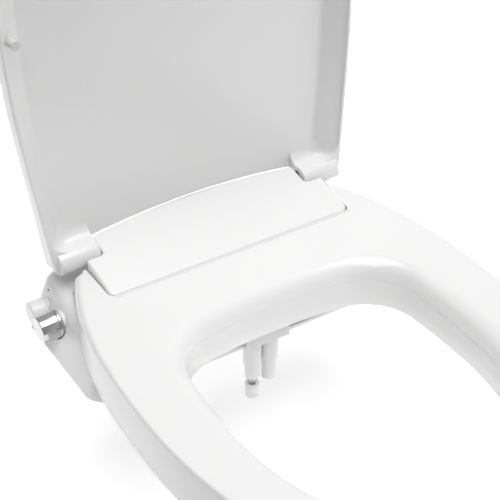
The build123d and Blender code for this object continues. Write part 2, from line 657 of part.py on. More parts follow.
def control_parts():
    """Valve body, its two cartridges, spindles and knobs."""
    valve_face_x = knob_seat_x + knob_land_depth + cartridge_length
    top_z = max(pressure_knob_z, mode_knob_z) + valve_margin_z
    valve = block(valve_face_x, valve_face_x + valve_width, pressure_knob_y - valve_margin_y,
                  mode_knob_y + valve_margin_y, valve_low_z, top_z)
    cartridges, spindles = [], []
    for y, z, end_x in ((pressure_knob_y, pressure_knob_z, pressure_knob_end_x),
                        (mode_knob_y, mode_knob_z, mode_knob_end_x)):
        cartridges.append(ring_x(y, z, cartridge_radius, spindle_radius + running,
                                 knob_seat_x + cartridge_start, valve_face_x))
        valve = valve - bar_x(y, z, spindle_radius + slip, valve_face_x - 1, valve_face_x + 8)
        spindles.append(bar_x(y, z, spindle_radius, end_x + 3 * knob_wall + slip, valve_face_x + 6))
    inlet_in = base_rear_y - base_wall - 1.0
    port_y = mode_knob_y + valve_margin_y - 6.0
    valve = valve - bar_y(inlet_x, inlet_z, tube_radius + running, port_y, inlet_in)
    for name in ("rear", "front"):
        start = wash_route(name)[0]
        valve = valve - bar_x(start[1], start[2], tube_radius + running, start[0], start[0] + valve_width)
    thread_y = base_rear_y + inlet_thread_gap
    neck = bar_y(inlet_x, inlet_z, inlet_neck_radius, inlet_in, thread_y)
    thread = bar_y(inlet_x, inlet_z, inlet_thread_radius, thread_y, thread_y + inlet_length)
    collar = bar_y(inlet_x, inlet_z, inlet_collar_radius, inlet_in - inlet_collar_width, inlet_in)
    inlet = neck + thread + collar - bar_y(inlet_x, inlet_z, inlet_bore_radius, inlet_in + 1, far)
    inlet = inlet - bar_y(inlet_x, inlet_z, tube_radius + running, 0, inlet_in + 1)
    strainer_y = inlet_in + strainer_start
    strainer = bar_y(inlet_x, inlet_z, inlet_bore_radius - slip, strainer_y, strainer_y + strainer_thickness)
    inlet_tube = bar_y(inlet_x, inlet_z, tube_radius, port_y + slip, inlet_in)
    inlet_tube = inlet_tube - bar_y(inlet_x, inlet_z, tube_bore_radius, 0, far)
    seals = [ring_x(y, z, spindle_radius + seal_width, spindle_radius + running,
                    knob_seat_x + seal_start, knob_seat_x + seal_end)
             for y, z in ((pressure_knob_y, pressure_knob_z), (mode_knob_y, mode_knob_z))]
    return {"valve_body": valve,
            "pressure_cartridge": cartridges[0], "mode_cartridge": cartridges[1],
            "pressure_spindle": spindles[0], "mode_spindle": spindles[1],
            "spindle_seals": Compound(children=seals),
            "pressure_knob": knob(pressure_knob_y, pressure_knob_z, pressure_knob_radius,
                                  pressure_knob_tip_radius, pressure_knob_end_x),
            "mode_knob": knob(mode_knob_y, mode_knob_z, mode_knob_radius, mode_knob_radius, mode_knob_end_x),
            "water_inlet": inlet, "inlet_strainer": strainer, "inlet_tube": inlet_tube}


def wash_route(name):
    """Points of the hose from the valve body to the nozzle manifold."""
    start_x = knob_seat_x + knob_land_depth + cartridge_length + valve_width - 6.0
    port_y = nozzle_y + casing_back - casing_wall - 0.5
    low_z, high_z = nozzle_top_z, nozzle_top_z + 9.0
    if name == "rear":
        x = -nozzle_pitch / 2
        return [(start_x, 2, low_z), (start_x + 24, 2, low_z), (start_x + 42, -30, low_z),
                (x - 14, -38, low_z), (x, port_y + 12.5, low_z), (x, port_y, low_z)]
    x = nozzle_pitch / 2
    return [(start_x, 18, high_z), (start_x + 22, 18, high_z), (start_x + 48, -18, high_z),
            (x - 22, -30, high_z), (x, port_y + 20.5, (low_z + high_z) / 2), (x, port_y + 10.5, low_z),
            (x, port_y, low_z)]


def wash_tubes():
    """The two hoses that feed the nozzles."""
    radii = {"rear": [14, 14, 7, 7], "front": [14, 14, 8, 5, 5]}
    return {f"{name}_wash_tube": tube(wash_route(name), radii[name], tube_radius, tube_bore_radius)
            for name in radii}


def nozzle_casing_block(grow):
    """The room that the nozzle casing takes in the base, grown by a fit."""
    half = nozzle_pitch / 2 + sleeve_radius + casing_margin + grow
    return block(-half, half, nozzle_y - casing_front - grow, nozzle_y + casing_back + grow,
                 -1, casing_top_z + 1)


def nozzle_parts():
    """Casing, sleeves, guide tubes, and the two nozzles that slide in them."""
    half = nozzle_pitch / 2 + sleeve_radius + casing_margin
    front, back = nozzle_y - casing_front, nozzle_y + casing_back
    wall = casing_wall
    casing = block(-half, half, front, back, base_underside_z, casing_top_z)
    casing = casing - block(-half + wall, half - wall, front + wall, back - wall, 0, casing_top_z - wall)
    manifold = block(-half + wall + slip, half - wall - slip, front + 2 * wall, back - wall - slip,
                     nozzle_top_z / 2, casing_top_z - wall - 0.5)
    parts = {}
    for name, x, low in (("rear", -nozzle_pitch / 2, rear_guide_bottom_z),
                         ("front", nozzle_pitch / 2, front_guide_bottom_z)):
        rear = name == "rear"
        head_r = rear_head_radius if rear else front_head_radius
        head_low = rear_head_bottom_z if rear else front_head_bottom_z
        head_top = head_low + (rear_head_length if rear else front_head_length)
        port = bar_y(x, nozzle_top_z, tube_radius + running, back - wall - slip - 0.3, far)
        casing = casing - port - bar_z(x, nozzle_y, sleeve_radius + slip, -5, 5)
        manifold = manifold - port - bar_y(x, nozzle_top_z, tube_bore_radius, nozzle_y, back)
        manifold = manifold - bar_z(x, nozzle_y, sleeve_radius + running, 0, nozzle_top_z + running)
        parts[f"{name}_nozzle_sleeve"] = ring_z(x, nozzle_y, sleeve_radius, guide_radius + guide_fit,
                                                sleeve_bottom_z, nozzle_top_z)
        mouth = (rod_radius if rear else head_r) + running
        mouth_top = low + guide_floor + 1 if rear else head_top + 1
        guide = bar_z(x, nozzle_y, guide_radius, low, nozzle_top_z - 1)
        guide = guide - bar_z(x, nozzle_y, guide_bore_radius + running, low + guide_floor, nozzle_top_z - 3)
        guide = guide - bar_z(x, nozzle_y, mouth, low - 1, mouth_top)
        parts[f"{name}_nozzle_guide"] = guide - bar_z(x, nozzle_y, tube_bore_radius, nozzle_top_z - 6,
                                                      nozzle_top_z + 2)
        head = bar_z(x, nozzle_y, head_r, head_low, head_top)
        lower = head.edges().filter_by_position(Axis.Z, head_low - 0.01, head_low + 0.01)
        head = head.fillet(head_round, lower)
        head = head - bar_z(x, nozzle_y, rod_radius + running, head_top - head_socket, head_top + 1)
        head = head - bar_z(x, nozzle_y, rod_bore, head_low + head_bore_floor, head_top)
        for k in (-1, 0, 1):
            head = head - bar_y(x + spray_hole_pitch * k, head_low + spray_hole_height, spray_hole_radius,
                                nozzle_y - casing_front, nozzle_y)
        piston_z = low + guide_floor + 1 + nozzle_stroke + 1.5
        rod_top = piston_z + piston_thickness
        parts[f"{name}_nozzle_head"] = head
        parts[f"{name}_nozzle_rod"] = ring_z(x, nozzle_y, rod_radius, rod_bore,
                                             head_top - head_socket + 0.1, rod_top)
        parts[f"{name}_nozzle_piston"] = ring_z(x, nozzle_y, guide_bore_radius, rod_radius + slip / 3,
                                                piston_z, rod_top)
        spring_low = low + guide_floor + 0.2 if rear else head_top + 0.5
        parts[f"{name}_nozzle_spring"] = ring_z(x, nozzle_y, rod_radius + spring_outer,
                                                rod_radius + spring_inner, spring_low, piston_z - 0.2)
    parts["nozzle_casing"] = casing
    parts["nozzle_manifold"] = manifold
    return parts


def index_dot():
    """A small dark dot let into the rim of the pressure knob."""
    length = pressure_knob_end_x - knob_seat_x
    share = (length + dot_from_tip) / length
    radius = pressure_knob_radius + (pressure_knob_tip_radius - pressure_knob_radius) * share
    place = Pos(pressure_knob_end_x + dot_from_tip, pressure_knob_y, pressure_knob_z)
    return place * Rot(90 - dot_angle, 0, 0) * Pos(0, 0, radius - 0.3) * Cylinder(dot_radius, 1.0)


def all_parts():
    """Every node of the bidet seat, by name."""
    parts = {}
    for group in (base_parts, control_parts, wash_tubes, nozzle_parts, seat_parts, lid_parts):
        parts.update(group())
    dot = index_dot()
    parts["pressure_knob"] = parts["pressure_knob"] - dot
    parts["pressure_index_dot"] = dot
    return parts


if __name__ == "__main__":
    os.makedirs("parts", exist_ok=True)
    for node, shape in all_parts().items():
        export_step(shape, f"parts/{node}.step")
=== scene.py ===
import json
import math
import bmesh
import bpy
import numpy as np
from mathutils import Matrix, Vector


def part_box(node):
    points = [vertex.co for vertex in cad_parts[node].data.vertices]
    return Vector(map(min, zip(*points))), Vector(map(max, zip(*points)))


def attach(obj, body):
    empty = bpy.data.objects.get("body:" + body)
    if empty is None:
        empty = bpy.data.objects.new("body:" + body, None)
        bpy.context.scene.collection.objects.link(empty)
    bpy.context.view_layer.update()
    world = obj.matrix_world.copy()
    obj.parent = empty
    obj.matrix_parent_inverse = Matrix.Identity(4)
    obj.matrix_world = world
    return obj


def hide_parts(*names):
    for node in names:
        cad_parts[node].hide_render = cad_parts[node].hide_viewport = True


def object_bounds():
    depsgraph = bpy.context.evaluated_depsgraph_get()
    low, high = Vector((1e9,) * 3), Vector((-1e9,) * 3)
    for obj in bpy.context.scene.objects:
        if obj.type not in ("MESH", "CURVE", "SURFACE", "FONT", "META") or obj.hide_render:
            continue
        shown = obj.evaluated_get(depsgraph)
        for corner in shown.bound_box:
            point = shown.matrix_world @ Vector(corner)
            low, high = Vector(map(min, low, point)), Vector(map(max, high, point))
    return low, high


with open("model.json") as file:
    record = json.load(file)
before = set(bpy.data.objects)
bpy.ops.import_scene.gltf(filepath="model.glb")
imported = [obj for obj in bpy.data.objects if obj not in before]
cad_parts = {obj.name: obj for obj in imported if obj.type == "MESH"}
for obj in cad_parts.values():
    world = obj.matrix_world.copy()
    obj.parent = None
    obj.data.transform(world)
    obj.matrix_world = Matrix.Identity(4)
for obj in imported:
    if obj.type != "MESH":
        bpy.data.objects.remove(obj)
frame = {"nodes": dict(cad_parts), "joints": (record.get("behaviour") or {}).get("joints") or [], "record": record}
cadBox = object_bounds()
nodes = frame["nodes"]
mm = 0.001
weld = 0.01 * mm

# ---------------------------------------------------------------- camera, light, floor
studio = {"target": (-0.0221, -0.0933, 0.1165), "distance": 1.2, "azimuth": -32.03, "elevation": 36.67,
          "lens": 102.43, "sensor": 36.0,
          "skyDark": 0.03, "skyBright": 0.62, "skyTowards": (0.94, 0.12, 0.32), "skyReach": 0.75,
          "floorDrop": 0.09, "floorSize": 14.0, "floorTone": 0.86, "floorGlow": 0.4, "floorDark": 0.16,
          "floorFade": (0.38, 0.85), "floorTowards": (-0.62, -0.78, 0), "floorRoughness": 0.9}
sunLights = [  # name, azimuth and height it comes from, strength, softness in degrees
    ("overheadPanel", -15.0, 80.0, 2.0, 50.0),
    ("keyPanel", -38.0, 52.0, 0.16, 10.0),
]


def buildCamera():
    """A long lens that looks at the target from an azimuth and an elevation, without a tilt."""
    a, e = math.radians(studio["azimuth"]), math.radians(studio["elevation"])
    back = np.array([math.sin(a) * math.cos(e), -math.cos(a) * math.cos(e), math.sin(e)])
    data = bpy.data.cameras.new("studioCamera")
    data.lens, data.sensor_width = studio["lens"], studio["sensor"]
    camera = bpy.data.objects.new("studioCamera", data)
    camera.location = np.array(studio["target"]) + studio["distance"] * back
    camera.rotation_euler = (math.pi / 2 - e, 0, a)
    bpy.context.scene.collection.objects.link(camera)
    bpy.context.scene.camera = camera


def buildLights():
    """Two soft suns, and a room that brightens evenly from its dark side towards its window side."""
    for name, azimuth, height, strength, softness in sunLights:
        data = bpy.data.lights.new(name, "SUN")
        data.energy, data.angle = strength, math.radians(softness)
        lamp = bpy.data.objects.new(name, data)
        lamp.rotation_euler = (math.radians(90 - height), 0, math.radians(azimuth))
        bpy.context.scene.collection.objects.link(lamp)
    world = bpy.data.worlds.new("paleRoom")
    world.use_nodes = True
    tree = world.node_tree
    place = tree.nodes.new("ShaderNodeTexCoord")
    across = tree.nodes.new("ShaderNodeVectorMath")
    across.operation = "DOT_PRODUCT"
    across.inputs[1].default_value = studio["skyTowards"]
    ramp = tree.nodes.new("ShaderNodeMapRange")
    for key, value in (("From Min", -studio["skyReach"]), ("From Max", studio["skyReach"]),
                       ("To Min", studio["skyDark"]), ("To Max", studio["skyBright"])):
        ramp.inputs[key].default_value = value
    tree.links.new(place.outputs["Generated"], across.inputs[0])
    tree.links.new(across.outputs["Value"], ramp.inputs["Value"])
    tree.links.new(ramp.outputs["Result"], tree.nodes["Background"].inputs["Color"])
    bpy.context.scene.world = world
    bpy.context.scene.view_settings.view_transform = "Standard"


def buildFloor():
    """A pale sheet that glows a little and falls off to a darker tone towards the front left."""
    half = studio["floorSize"] / 2
    low = cadBox[0][2] - studio["floorDrop"]
    data = bpy.data.meshes.new("studioFloor")
    data.from_pydata([(-half, -half, low), (half, -half, low), (half, half, low), (-half, half, low)], [],
                     [(0, 1, 2, 3)])
    floor = bpy.data.objects.new("studioFloor", data)
    bpy.context.scene.collection.objects.link(floor)
    paint = bpy.data.materials.new("palePaper")
    paint.use_nodes = True
    tree = paint.node_tree
    shader = tree.nodes["Principled BSDF"]
    place = tree.nodes.new("ShaderNodeTexCoord")
    ahead = tree.nodes.new("ShaderNodeVectorMath")
    ahead.operation = "DOT_PRODUCT"
    ahead.inputs[1].default_value = studio["floorTowards"]
    fade = tree.nodes.new("ShaderNodeMapRange")
    fade.interpolation_type = "SMOOTHSTEP"
    near, far = studio["floorFade"]
    for key, value in (("From Min", near), ("From Max", far), ("To Min", studio["floorTone"]),
                       ("To Max", studio["floorDark"])):
        fade.inputs[key].default_value = value
    tree.links.new(place.outputs["Object"], ahead.inputs[0])
    tree.links.new(ahead.outputs["Value"], fade.inputs["Value"])
    tree.links.new(fade.outputs["Result"], shader.inputs["Base Color"])
    tree.links.new(fade.outputs["Result"], shader.inputs["Emission Color"])
    shader.inputs["Roughness"].default_value = studio["floorRoughness"]
    shader.inputs["Emission Strength"].default_value = studio["floorGlow"] / studio["floorTone"]
    data.materials.append(paint)


# ---------------------------------------------------------------- finishes
def newGroup(name, inputs, outputs):
    """An empty shader group with its named sockets; gives its node tree, its entry and its exit."""
    group = bpy.data.node_groups.new(name, "ShaderNodeTree")
    for label, kind, value in inputs:
        socket = group.interface.new_socket(label, in_out="INPUT", socket_type="NodeSocket" + kind)
        socket.default_value = value
    for label, kind in outputs:
        group.interface.new_socket(label, in_out="OUTPUT", socket_type="NodeSocket" + kind)
    return group, group.nodes.new("NodeGroupInput"), group.nodes.new("NodeGroupOutput")


def addNode(tree, kind, values=None, **settings):
    """A shader node with the values of its sockets and its own settings."""
    node = tree.nodes.new(kind)
    for key, value in settings.items():
        setattr(node, key, value)
    for key, value in (values or {}).items():
        node.inputs[key].default_value = value
    return node


def mouldedGroup():
    """Moulded surface: faint waves of the tool, fine grain, and patches worn a little duller."""
    group, entry, leave = newGroup(
        "mouldedSkin",
        [("Tone", "Color", (0.8, 0.8, 0.8, 1)), ("Tone Shift", "Float", 0.02), ("Roughness", "Float", 0.2),
         ("Roughness Shift", "Float", 0.06), ("Grain", "Float", 0.02), ("Grain Scale", "Float", 900.0),
         ("Wave", "Float", 0.02)],
        [("Color", "Color"), ("Roughness", "Float"), ("Normal", "Vector")])
    link = group.links.new
    place = addNode(group, "ShaderNodeTexCoord")
    patches = addNode(group, "ShaderNodeTexNoise", {"Scale": 14.0, "Detail": 4.0, "Roughness": 0.55})
    grain = addNode(group, "ShaderNodeTexNoise", {"Detail": 3.0, "Roughness": 0.6})
    wave = addNode(group, "ShaderNodeTexNoise", {"Scale": 22.0, "Detail": 1.0})
    for texture in (patches, grain, wave):
        link(place.outputs["Object"], texture.inputs["Vector"])
    link(entry.outputs["Grain Scale"], grain.inputs["Scale"])
    centred = addNode(group, "ShaderNodeMath", {1: 0.5}, operation="SUBTRACT")
    link(patches.outputs["Fac"], centred.inputs[0])
    duller = addNode(group, "ShaderNodeMath", operation="MULTIPLY_ADD")
    link(centred.outputs[0], duller.inputs[0])
    link(entry.outputs["Roughness Shift"], duller.inputs[1])
    link(entry.outputs["Roughness"], duller.inputs[2])
    link(duller.outputs[0], leave.inputs["Roughness"])
    shade = addNode(group, "ShaderNodeMath", {2: 1.0}, operation="MULTIPLY_ADD")
    link(centred.outputs[0], shade.inputs[0])
    link(entry.outputs["Tone Shift"], shade.inputs[1])
    tinted = addNode(group, "ShaderNodeVectorMath", operation="SCALE")
    link(entry.outputs["Tone"], tinted.inputs[0])
    link(shade.outputs[0], tinted.inputs["Scale"])
    link(tinted.outputs["Vector"], leave.inputs["Color"])
    broad = addNode(group, "ShaderNodeBump", {"Distance": 0.0006})
    link(wave.outputs["Fac"], broad.inputs["Height"])
    link(entry.outputs["Wave"], broad.inputs["Strength"])
    fine = addNode(group, "ShaderNodeBump", {"Distance": 0.0001})
    link(grain.outputs["Fac"], fine.inputs["Height"])
    link(entry.outputs["Grain"], fine.inputs["Strength"])
    link(broad.outputs["Normal"], fine.inputs["Normal"])
    link(fine.outputs["Normal"], leave.inputs["Normal"])
    return group


def turnedGroup():
    """Machined or drawn metal: fine lines along one direction and slow changes in how polished it is."""
    group, entry, leave = newGroup(
        "turnedMetal",
        [("Tone", "Color", (0.6, 0.6, 0.6, 1)), ("Roughness", "Float", 0.25), ("Lines", "Float", 0.05),
         ("Stretch", "Vector", (40.0, 900.0, 900.0))],
        [("Color", "Color"), ("Roughness", "Float"), ("Normal", "Vector")])
    link = group.links.new
    place = addNode(group, "ShaderNodeTexCoord")
    stretched = addNode(group, "ShaderNodeVectorMath", operation="MULTIPLY")
    link(place.outputs["Object"], stretched.inputs[0])
    link(entry.outputs["Stretch"], stretched.inputs[1])
    lines = addNode(group, "ShaderNodeTexNoise", {"Scale": 1.0, "Detail": 2.0})
    link(stretched.outputs["Vector"], lines.inputs["Vector"])
    centred = addNode(group, "ShaderNodeMath", {1: 0.5}, operation="SUBTRACT")
    link(lines.outputs["Fac"], centred.inputs[0])
    rough = addNode(group, "ShaderNodeMath", {1: 0.16}, operation="MULTIPLY_ADD")
    link(centred.outputs[0], rough.inputs[0])
    link(entry.outputs["Roughness"], rough.inputs[2])
    link(rough.outputs[0], leave.inputs["Roughness"])
    shade = addNode(group, "ShaderNodeMath", {1: 0.12, 2: 1.0}, operation="MULTIPLY_ADD")
    link(centred.outputs[0], shade.inputs[0])
    tinted = addNode(group, "ShaderNodeVectorMath", operation="SCALE")
    link(entry.outputs["Tone"], tinted.inputs[0])
    link(shade.outputs[0], tinted.inputs["Scale"])
    link(tinted.outputs["Vector"], leave.inputs["Color"])
    ridges = addNode(group, "ShaderNodeBump", {"Distance": 0.00005})
    link(lines.outputs["Fac"], ridges.inputs["Height"])
    link(entry.outputs["Lines"], ridges.inputs["Strength"])
    link(ridges.outputs["Normal"], leave.inputs["Normal"])
    return group


def finish(name, group, inputs, shaderValues):
    """A material whose colour, roughness and normal come from a shared group, the rest from the shader."""
    paint = bpy.data.materials.new(name)
    paint.use_nodes = True
    tree = paint.node_tree
    shader = tree.nodes["Principled BSDF"]
    skin = addNode(tree, "ShaderNodeGroup", node_tree=group)
    for key, value in inputs.items():
        skin.inputs[key].default_value = value
    tree.links.new(skin.outputs["Color"], shader.inputs["Base Color"])
    tree.links.new(skin.outputs["Roughness"], shader.inputs["Roughness"])
    tree.links.new(skin.outputs["Normal"], shader.inputs["Normal"])
    for key, value in shaderValues.items():
        shader.inputs[key].default_value = value
    return paint


def grey(level, warm=0.0):
    return (level + warm, level, level - warm, 1)


def buildFinishes():
    """One material for each slot of the record."""
    skin, metal = mouldedGroup(), turnedGroup()
    gloss = {"Coat Weight": 0.35, "Coat Roughness": 0.08, "IOR": 1.49}
    dull = {"IOR": 1.5}
    clear = {"Transmission Weight": 0.82, "IOR": 1.46}
    plain = {"Grain": 0.03, "Wave": 0.03}
    solid = {"Metallic": 1.0}
    shell = {"Tone": grey(0.86, 0.002), "Tone Shift": 0.008, "Roughness": 0.22, "Roughness Shift": 0.05,
             "Grain": 0.02, "Wave": 0.015}
    rod = {"Tone": grey(0.93), "Tone Shift": 0.01, "Roughness": 0.08, "Roughness Shift": 0.02,
           "Grain": 0.01, "Wave": 0.02}
    plate = {"Tone": grey(0.6), "Roughness": 0.09, "Lines": 0.02, "Stretch": (30.0, 120.0, 120.0)}
    recipes = [  # slot, name, group, the group's inputs, the shader's own values
        ("shell_white", "glossyShell", skin, shell, gloss),
        ("knob_white", "whiteKnob", skin, {"Tone": grey(0.85, 0.004), "Roughness": 0.26, **plain}, gloss),
        ("knob_chrome", "chromePlate", metal, plate, solid),
        ("inner_white", "innerWhite", skin,
         {"Tone": grey(0.8, 0.003), "Roughness": 0.36, "Grain": 0.08, "Wave": 0.03}, dull),
        ("inner_grey", "innerGrey", skin, {"Tone": grey(0.36), "Roughness": 0.45, "Grain": 0.12}, dull),
        ("nozzle_white", "nozzleWhite", skin, {"Tone": grey(0.8, 0.002), "Roughness": 0.3, **plain}, gloss),
        ("nozzle_clear", "clearRod", skin, rod, clear),
        ("hose_clear", "clearHose", skin, {"Tone": grey(0.88), "Roughness": 0.18, "Wave": 0.1},
         {**clear, "Transmission Weight": 0.6}),
        ("steel", "brightSteel", metal, {"Tone": grey(0.62), "Roughness": 0.28, "Lines": 0.1}, solid),
        ("brass", "machinedBrass", metal,
         {"Tone": (0.72, 0.53, 0.25, 1), "Roughness": 0.3, "Lines": 0.12}, solid),
        ("rubber_grey", "greyRubber", skin, {"Tone": grey(0.24), "Roughness": 0.72, "Grain": 0.3}, dull),
        ("rubber_dark", "darkRubber", skin, {"Tone": grey(0.035), "Roughness": 0.65, "Grain": 0.3}, dull),
        ("rubber_white", "paleRubber", skin,
         {"Tone": grey(0.72, 0.006), "Roughness": 0.6, "Grain": 0.2}, dull),
        ("mark_dark", "darkMark", skin, {"Tone": grey(0.05), "Roughness": 0.4, "Grain": 0.1}, dull),
    ]
    return {slot: finish(*recipe) for slot, *recipe in recipes}


# ---------------------------------------------------------------- sizes read from the frame, in millimetres
def boxOf(node):
    low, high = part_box(node)
    return np.array(low) / mm, np.array(high) / mm


def axisOf(joint):
    found = next(j for j in frame["joints"] if j["name"] == joint)
    return np.array(found["pos_m"]) / mm


seatAxis, lidAxis = axisOf("seat_hinge"), axisOf("lid_hinge")
seatLow, seatHigh = boxOf("seat_shell")
coverLow, coverHigh = boxOf("centre_cover")
baseLow, baseHigh = boxOf("base_shell")


# ---------------------------------------------------------------- mesh helpers
def plainMesh(name, points, faces):
    """A mesh object in metres for cutting, with its faces turned outwards."""
    data = bpy.data.meshes.new(name)
    data.from_pydata((np.asarray(points) * mm).tolist(), [], faces)
    work = bmesh.new()
    work.from_mesh(data)
    bmesh.ops.remove_doubles(work, verts=work.verts, dist=weld)
    bmesh.ops.dissolve_degenerate(work, edges=work.edges, dist=weld)
    if work.calc_volume(signed=True) < 0:
        bmesh.ops.reverse_faces(work, faces=work.faces)
    work.to_mesh(data)
    work.free()
    made = bpy.data.objects.new(name, data)
    bpy.context.scene.collection.objects.link(made)
    return made


def pieceFromMesh(name, data, body, replaced, paint, sharp=32.0):
    """A smooth piece with hard edges past the sharp angle, in the place of the CAD nodes it stands for."""
    data.polygons.foreach_set("use_smooth", np.full(len(data.polygons), True))
    data.set_sharp_from_angle(angle=math.radians(sharp))
    data.materials.clear()
    data.materials.append(paint)
    piece = bpy.data.objects.new(name, data)
    bpy.context.scene.collection.objects.link(piece)
    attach(piece, body)
    if replaced:
        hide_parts(*replaced)
    return piece


def outward(points, faces):
    """The same quads, turned over if the pyramids from their middle to each quad add up below nothing."""
    corner = points[np.array(faces)]
    centre = points.mean(axis=0)
    a, b, c, d = (corner[:, k] - centre for k in range(4))
    volume = np.sum(a * (np.cross(b, c) + np.cross(c, d)))
    return points, (faces if volume > 0 else [face[::-1] for face in faces])


def makePiece(name, points, faces, body, replaced, paint, sharp=60.0):
    """A piece from points in millimetres, riding on a body and standing for the CAD nodes it replaces."""
    made = plainMesh(name + "Form", points, faces)
    data = made.data
    bpy.data.objects.remove(made)
    data.name = name
    return pieceFromMesh(name, data, body, replaced, paint, sharp)


def gridFaces(rows, columns, wrapRows=False, wrapColumns=True):
    """Quads of a grid of points; a wrapped side joins its last line to its first."""
    i = np.arange(rows if wrapRows else rows - 1)[:, None]
    j = np.arange(columns if wrapColumns else columns - 1)[None, :]
    a = i * columns + j
    b = i * columns + (j + 1) % columns
    c = ((i + 1) % rows) * columns + (j + 1) % columns
    d = ((i + 1) % rows) * columns + j
    return np.stack(np.broadcast_arrays(a, b, c, d), -1).reshape(-1, 4).tolist()


def arc(centre, radius, start, end, count):
    """Points and outward normals of an arc in plan, angles in degrees."""
    t = np.radians(np.linspace(start, end, count))
    normal = np.stack([np.cos(t), np.sin(t)], -1)
    return np.array(centre) + radius * normal, normal


def run(start, end, normal, count):
    """Points and one normal along a straight line in plan."""
    t = np.linspace(0, 1, count)[:, None]
    return np.array(start) * (1 - t) + np.array(end) * t, np.tile(np.array(normal, float), (count, 1))


def joinRuns(*runs):
    """One line from several, leaving out the repeated ends; also says where each run ends."""
    points = np.concatenate([r[0] if k == 0 else r[0][1:] for k, r in enumerate(runs)])
    normals = np.concatenate([r[1] if k == 0 else r[1][1:] for k, r in enumerate(runs)])
    ends = np.cumsum([len(r[0]) if k == 0 else len(r[0]) - 1 for k, r in enumerate(runs)]) - 1
    return points, normals, ends


def lengthAlong(points):
    """Distance of each point from the line's start, measured along the line."""
    return np.concatenate([[0], np.cumsum(np.linalg.norm(np.diff(points, axis=0), axis=1))])


def bothSides(rows):
    """Rows of right-hand points from the rear centre to the front centre, closed by their mirror image."""
    left = rows[:, -2:0:-1] * np.array([-1, 1, 1])
    return np.concatenate([rows, left], axis=1)


def lift(plan, z):
    """Plan points with a height for each."""
    return np.concatenate([plan, np.broadcast_to(np.asarray(z, float), plan.shape[:-1])[..., None]], -1)


# ---------------------------------------------------------------- outlines shared by seat, lid and base
ring = {"sideRadius": 900.0, "shoulderRadius": 300.0, "shoulderY": -95.0, "widestY": -187.0}
deckLine = [(56.0, 54.0), (20.0, 48.0), (-15.0, 41.0), (-48.0, 30.0), (-66.0, 18.8), (-86.0, 2.5)]
deckCurve = np.polyfit([p[0] / 100 for p in deckLine], [p[1] for p in deckLine], len(deckLine) - 1)


def deckHeight(y):
    """Height of the base's top: the polynomial through the deck line's points, held level past its ends."""
    return np.polyval(deckCurve, np.clip(y, deckLine[-1][0], deckLine[0][0]) / 100)


def sideOutline(grow, shoulderRadius, rearY, cornerRadius, count=110):
    """Right-hand outline of seat or lid, from its rear corner to the front."""
    # The side arc touches the widest place. The shoulder arc meets it tangentially at its own y, because its
    # centre lies on the line from there to the side arc's centre. The corner's circle touches the rear line
    # and the shoulder from within. The front is a quarter of an ellipse with the half width and the length.
    half, widest, front = seatHigh[0], ring["widestY"], seatLow[1]
    turned = math.asin((ring["shoulderY"] - widest) / ring["sideRadius"])
    step = ring["sideRadius"] - shoulderRadius
    near = np.array([half - ring["sideRadius"], widest])
    rear = near + step * np.array([math.cos(turned), math.sin(turned)])
    reach = shoulderRadius + grow - cornerRadius
    cornerY = rearY - cornerRadius
    corner = np.array([rear[0] + math.sqrt(reach ** 2 - (cornerY - rear[1]) ** 2), cornerY])
    lean = math.degrees(math.atan2(corner[1] - rear[1], corner[0] - rear[0]))
    t = np.radians(np.linspace(0, -90, count))
    a, b = half + grow, widest - front + grow
    ellipse = np.stack([a * np.cos(t), widest + b * np.sin(t)], -1)
    normal = np.stack([np.cos(t) / a, np.sin(t) / b], -1)
    normal /= np.linalg.norm(normal, axis=1)[:, None]
    bend = arc(corner, cornerRadius, 90, lean, 14)
    shoulder = arc(rear, shoulderRadius + grow, lean, math.degrees(turned), 40)
    side = arc(near, ring["sideRadius"] + grow, math.degrees(turned), 0, 24)
    return bend, shoulder, side, (ellipse, normal)


# ---------------------------------------------------------------- seat ring
seat = {"notchGap": 0.7, "notchCorner": 6.5, "hornInnerRound": 2.0, "hornCorner": 9.0, "notchEdge": 1.0,
        "edgeAt": [-470, -130, -70, 15], "edgeRadius": [3.0, 3.0, 6.0, 8.5], "overDeck": 0.9, "wall": 2.6,
        "mouthHalf": 117.0, "mouthWidestY": -219.0, "mouthRearY": -100.0, "mouthFrontY": -400.0,
        "mouthRearRadius": 500.0, "mouthSideRadius": 700.0, "mouthCorner": 52.0,
        "mouthRound": 17.0, "ledge": 0.7, "ledgeDepth": 17.5, "wallProud": 0.6}


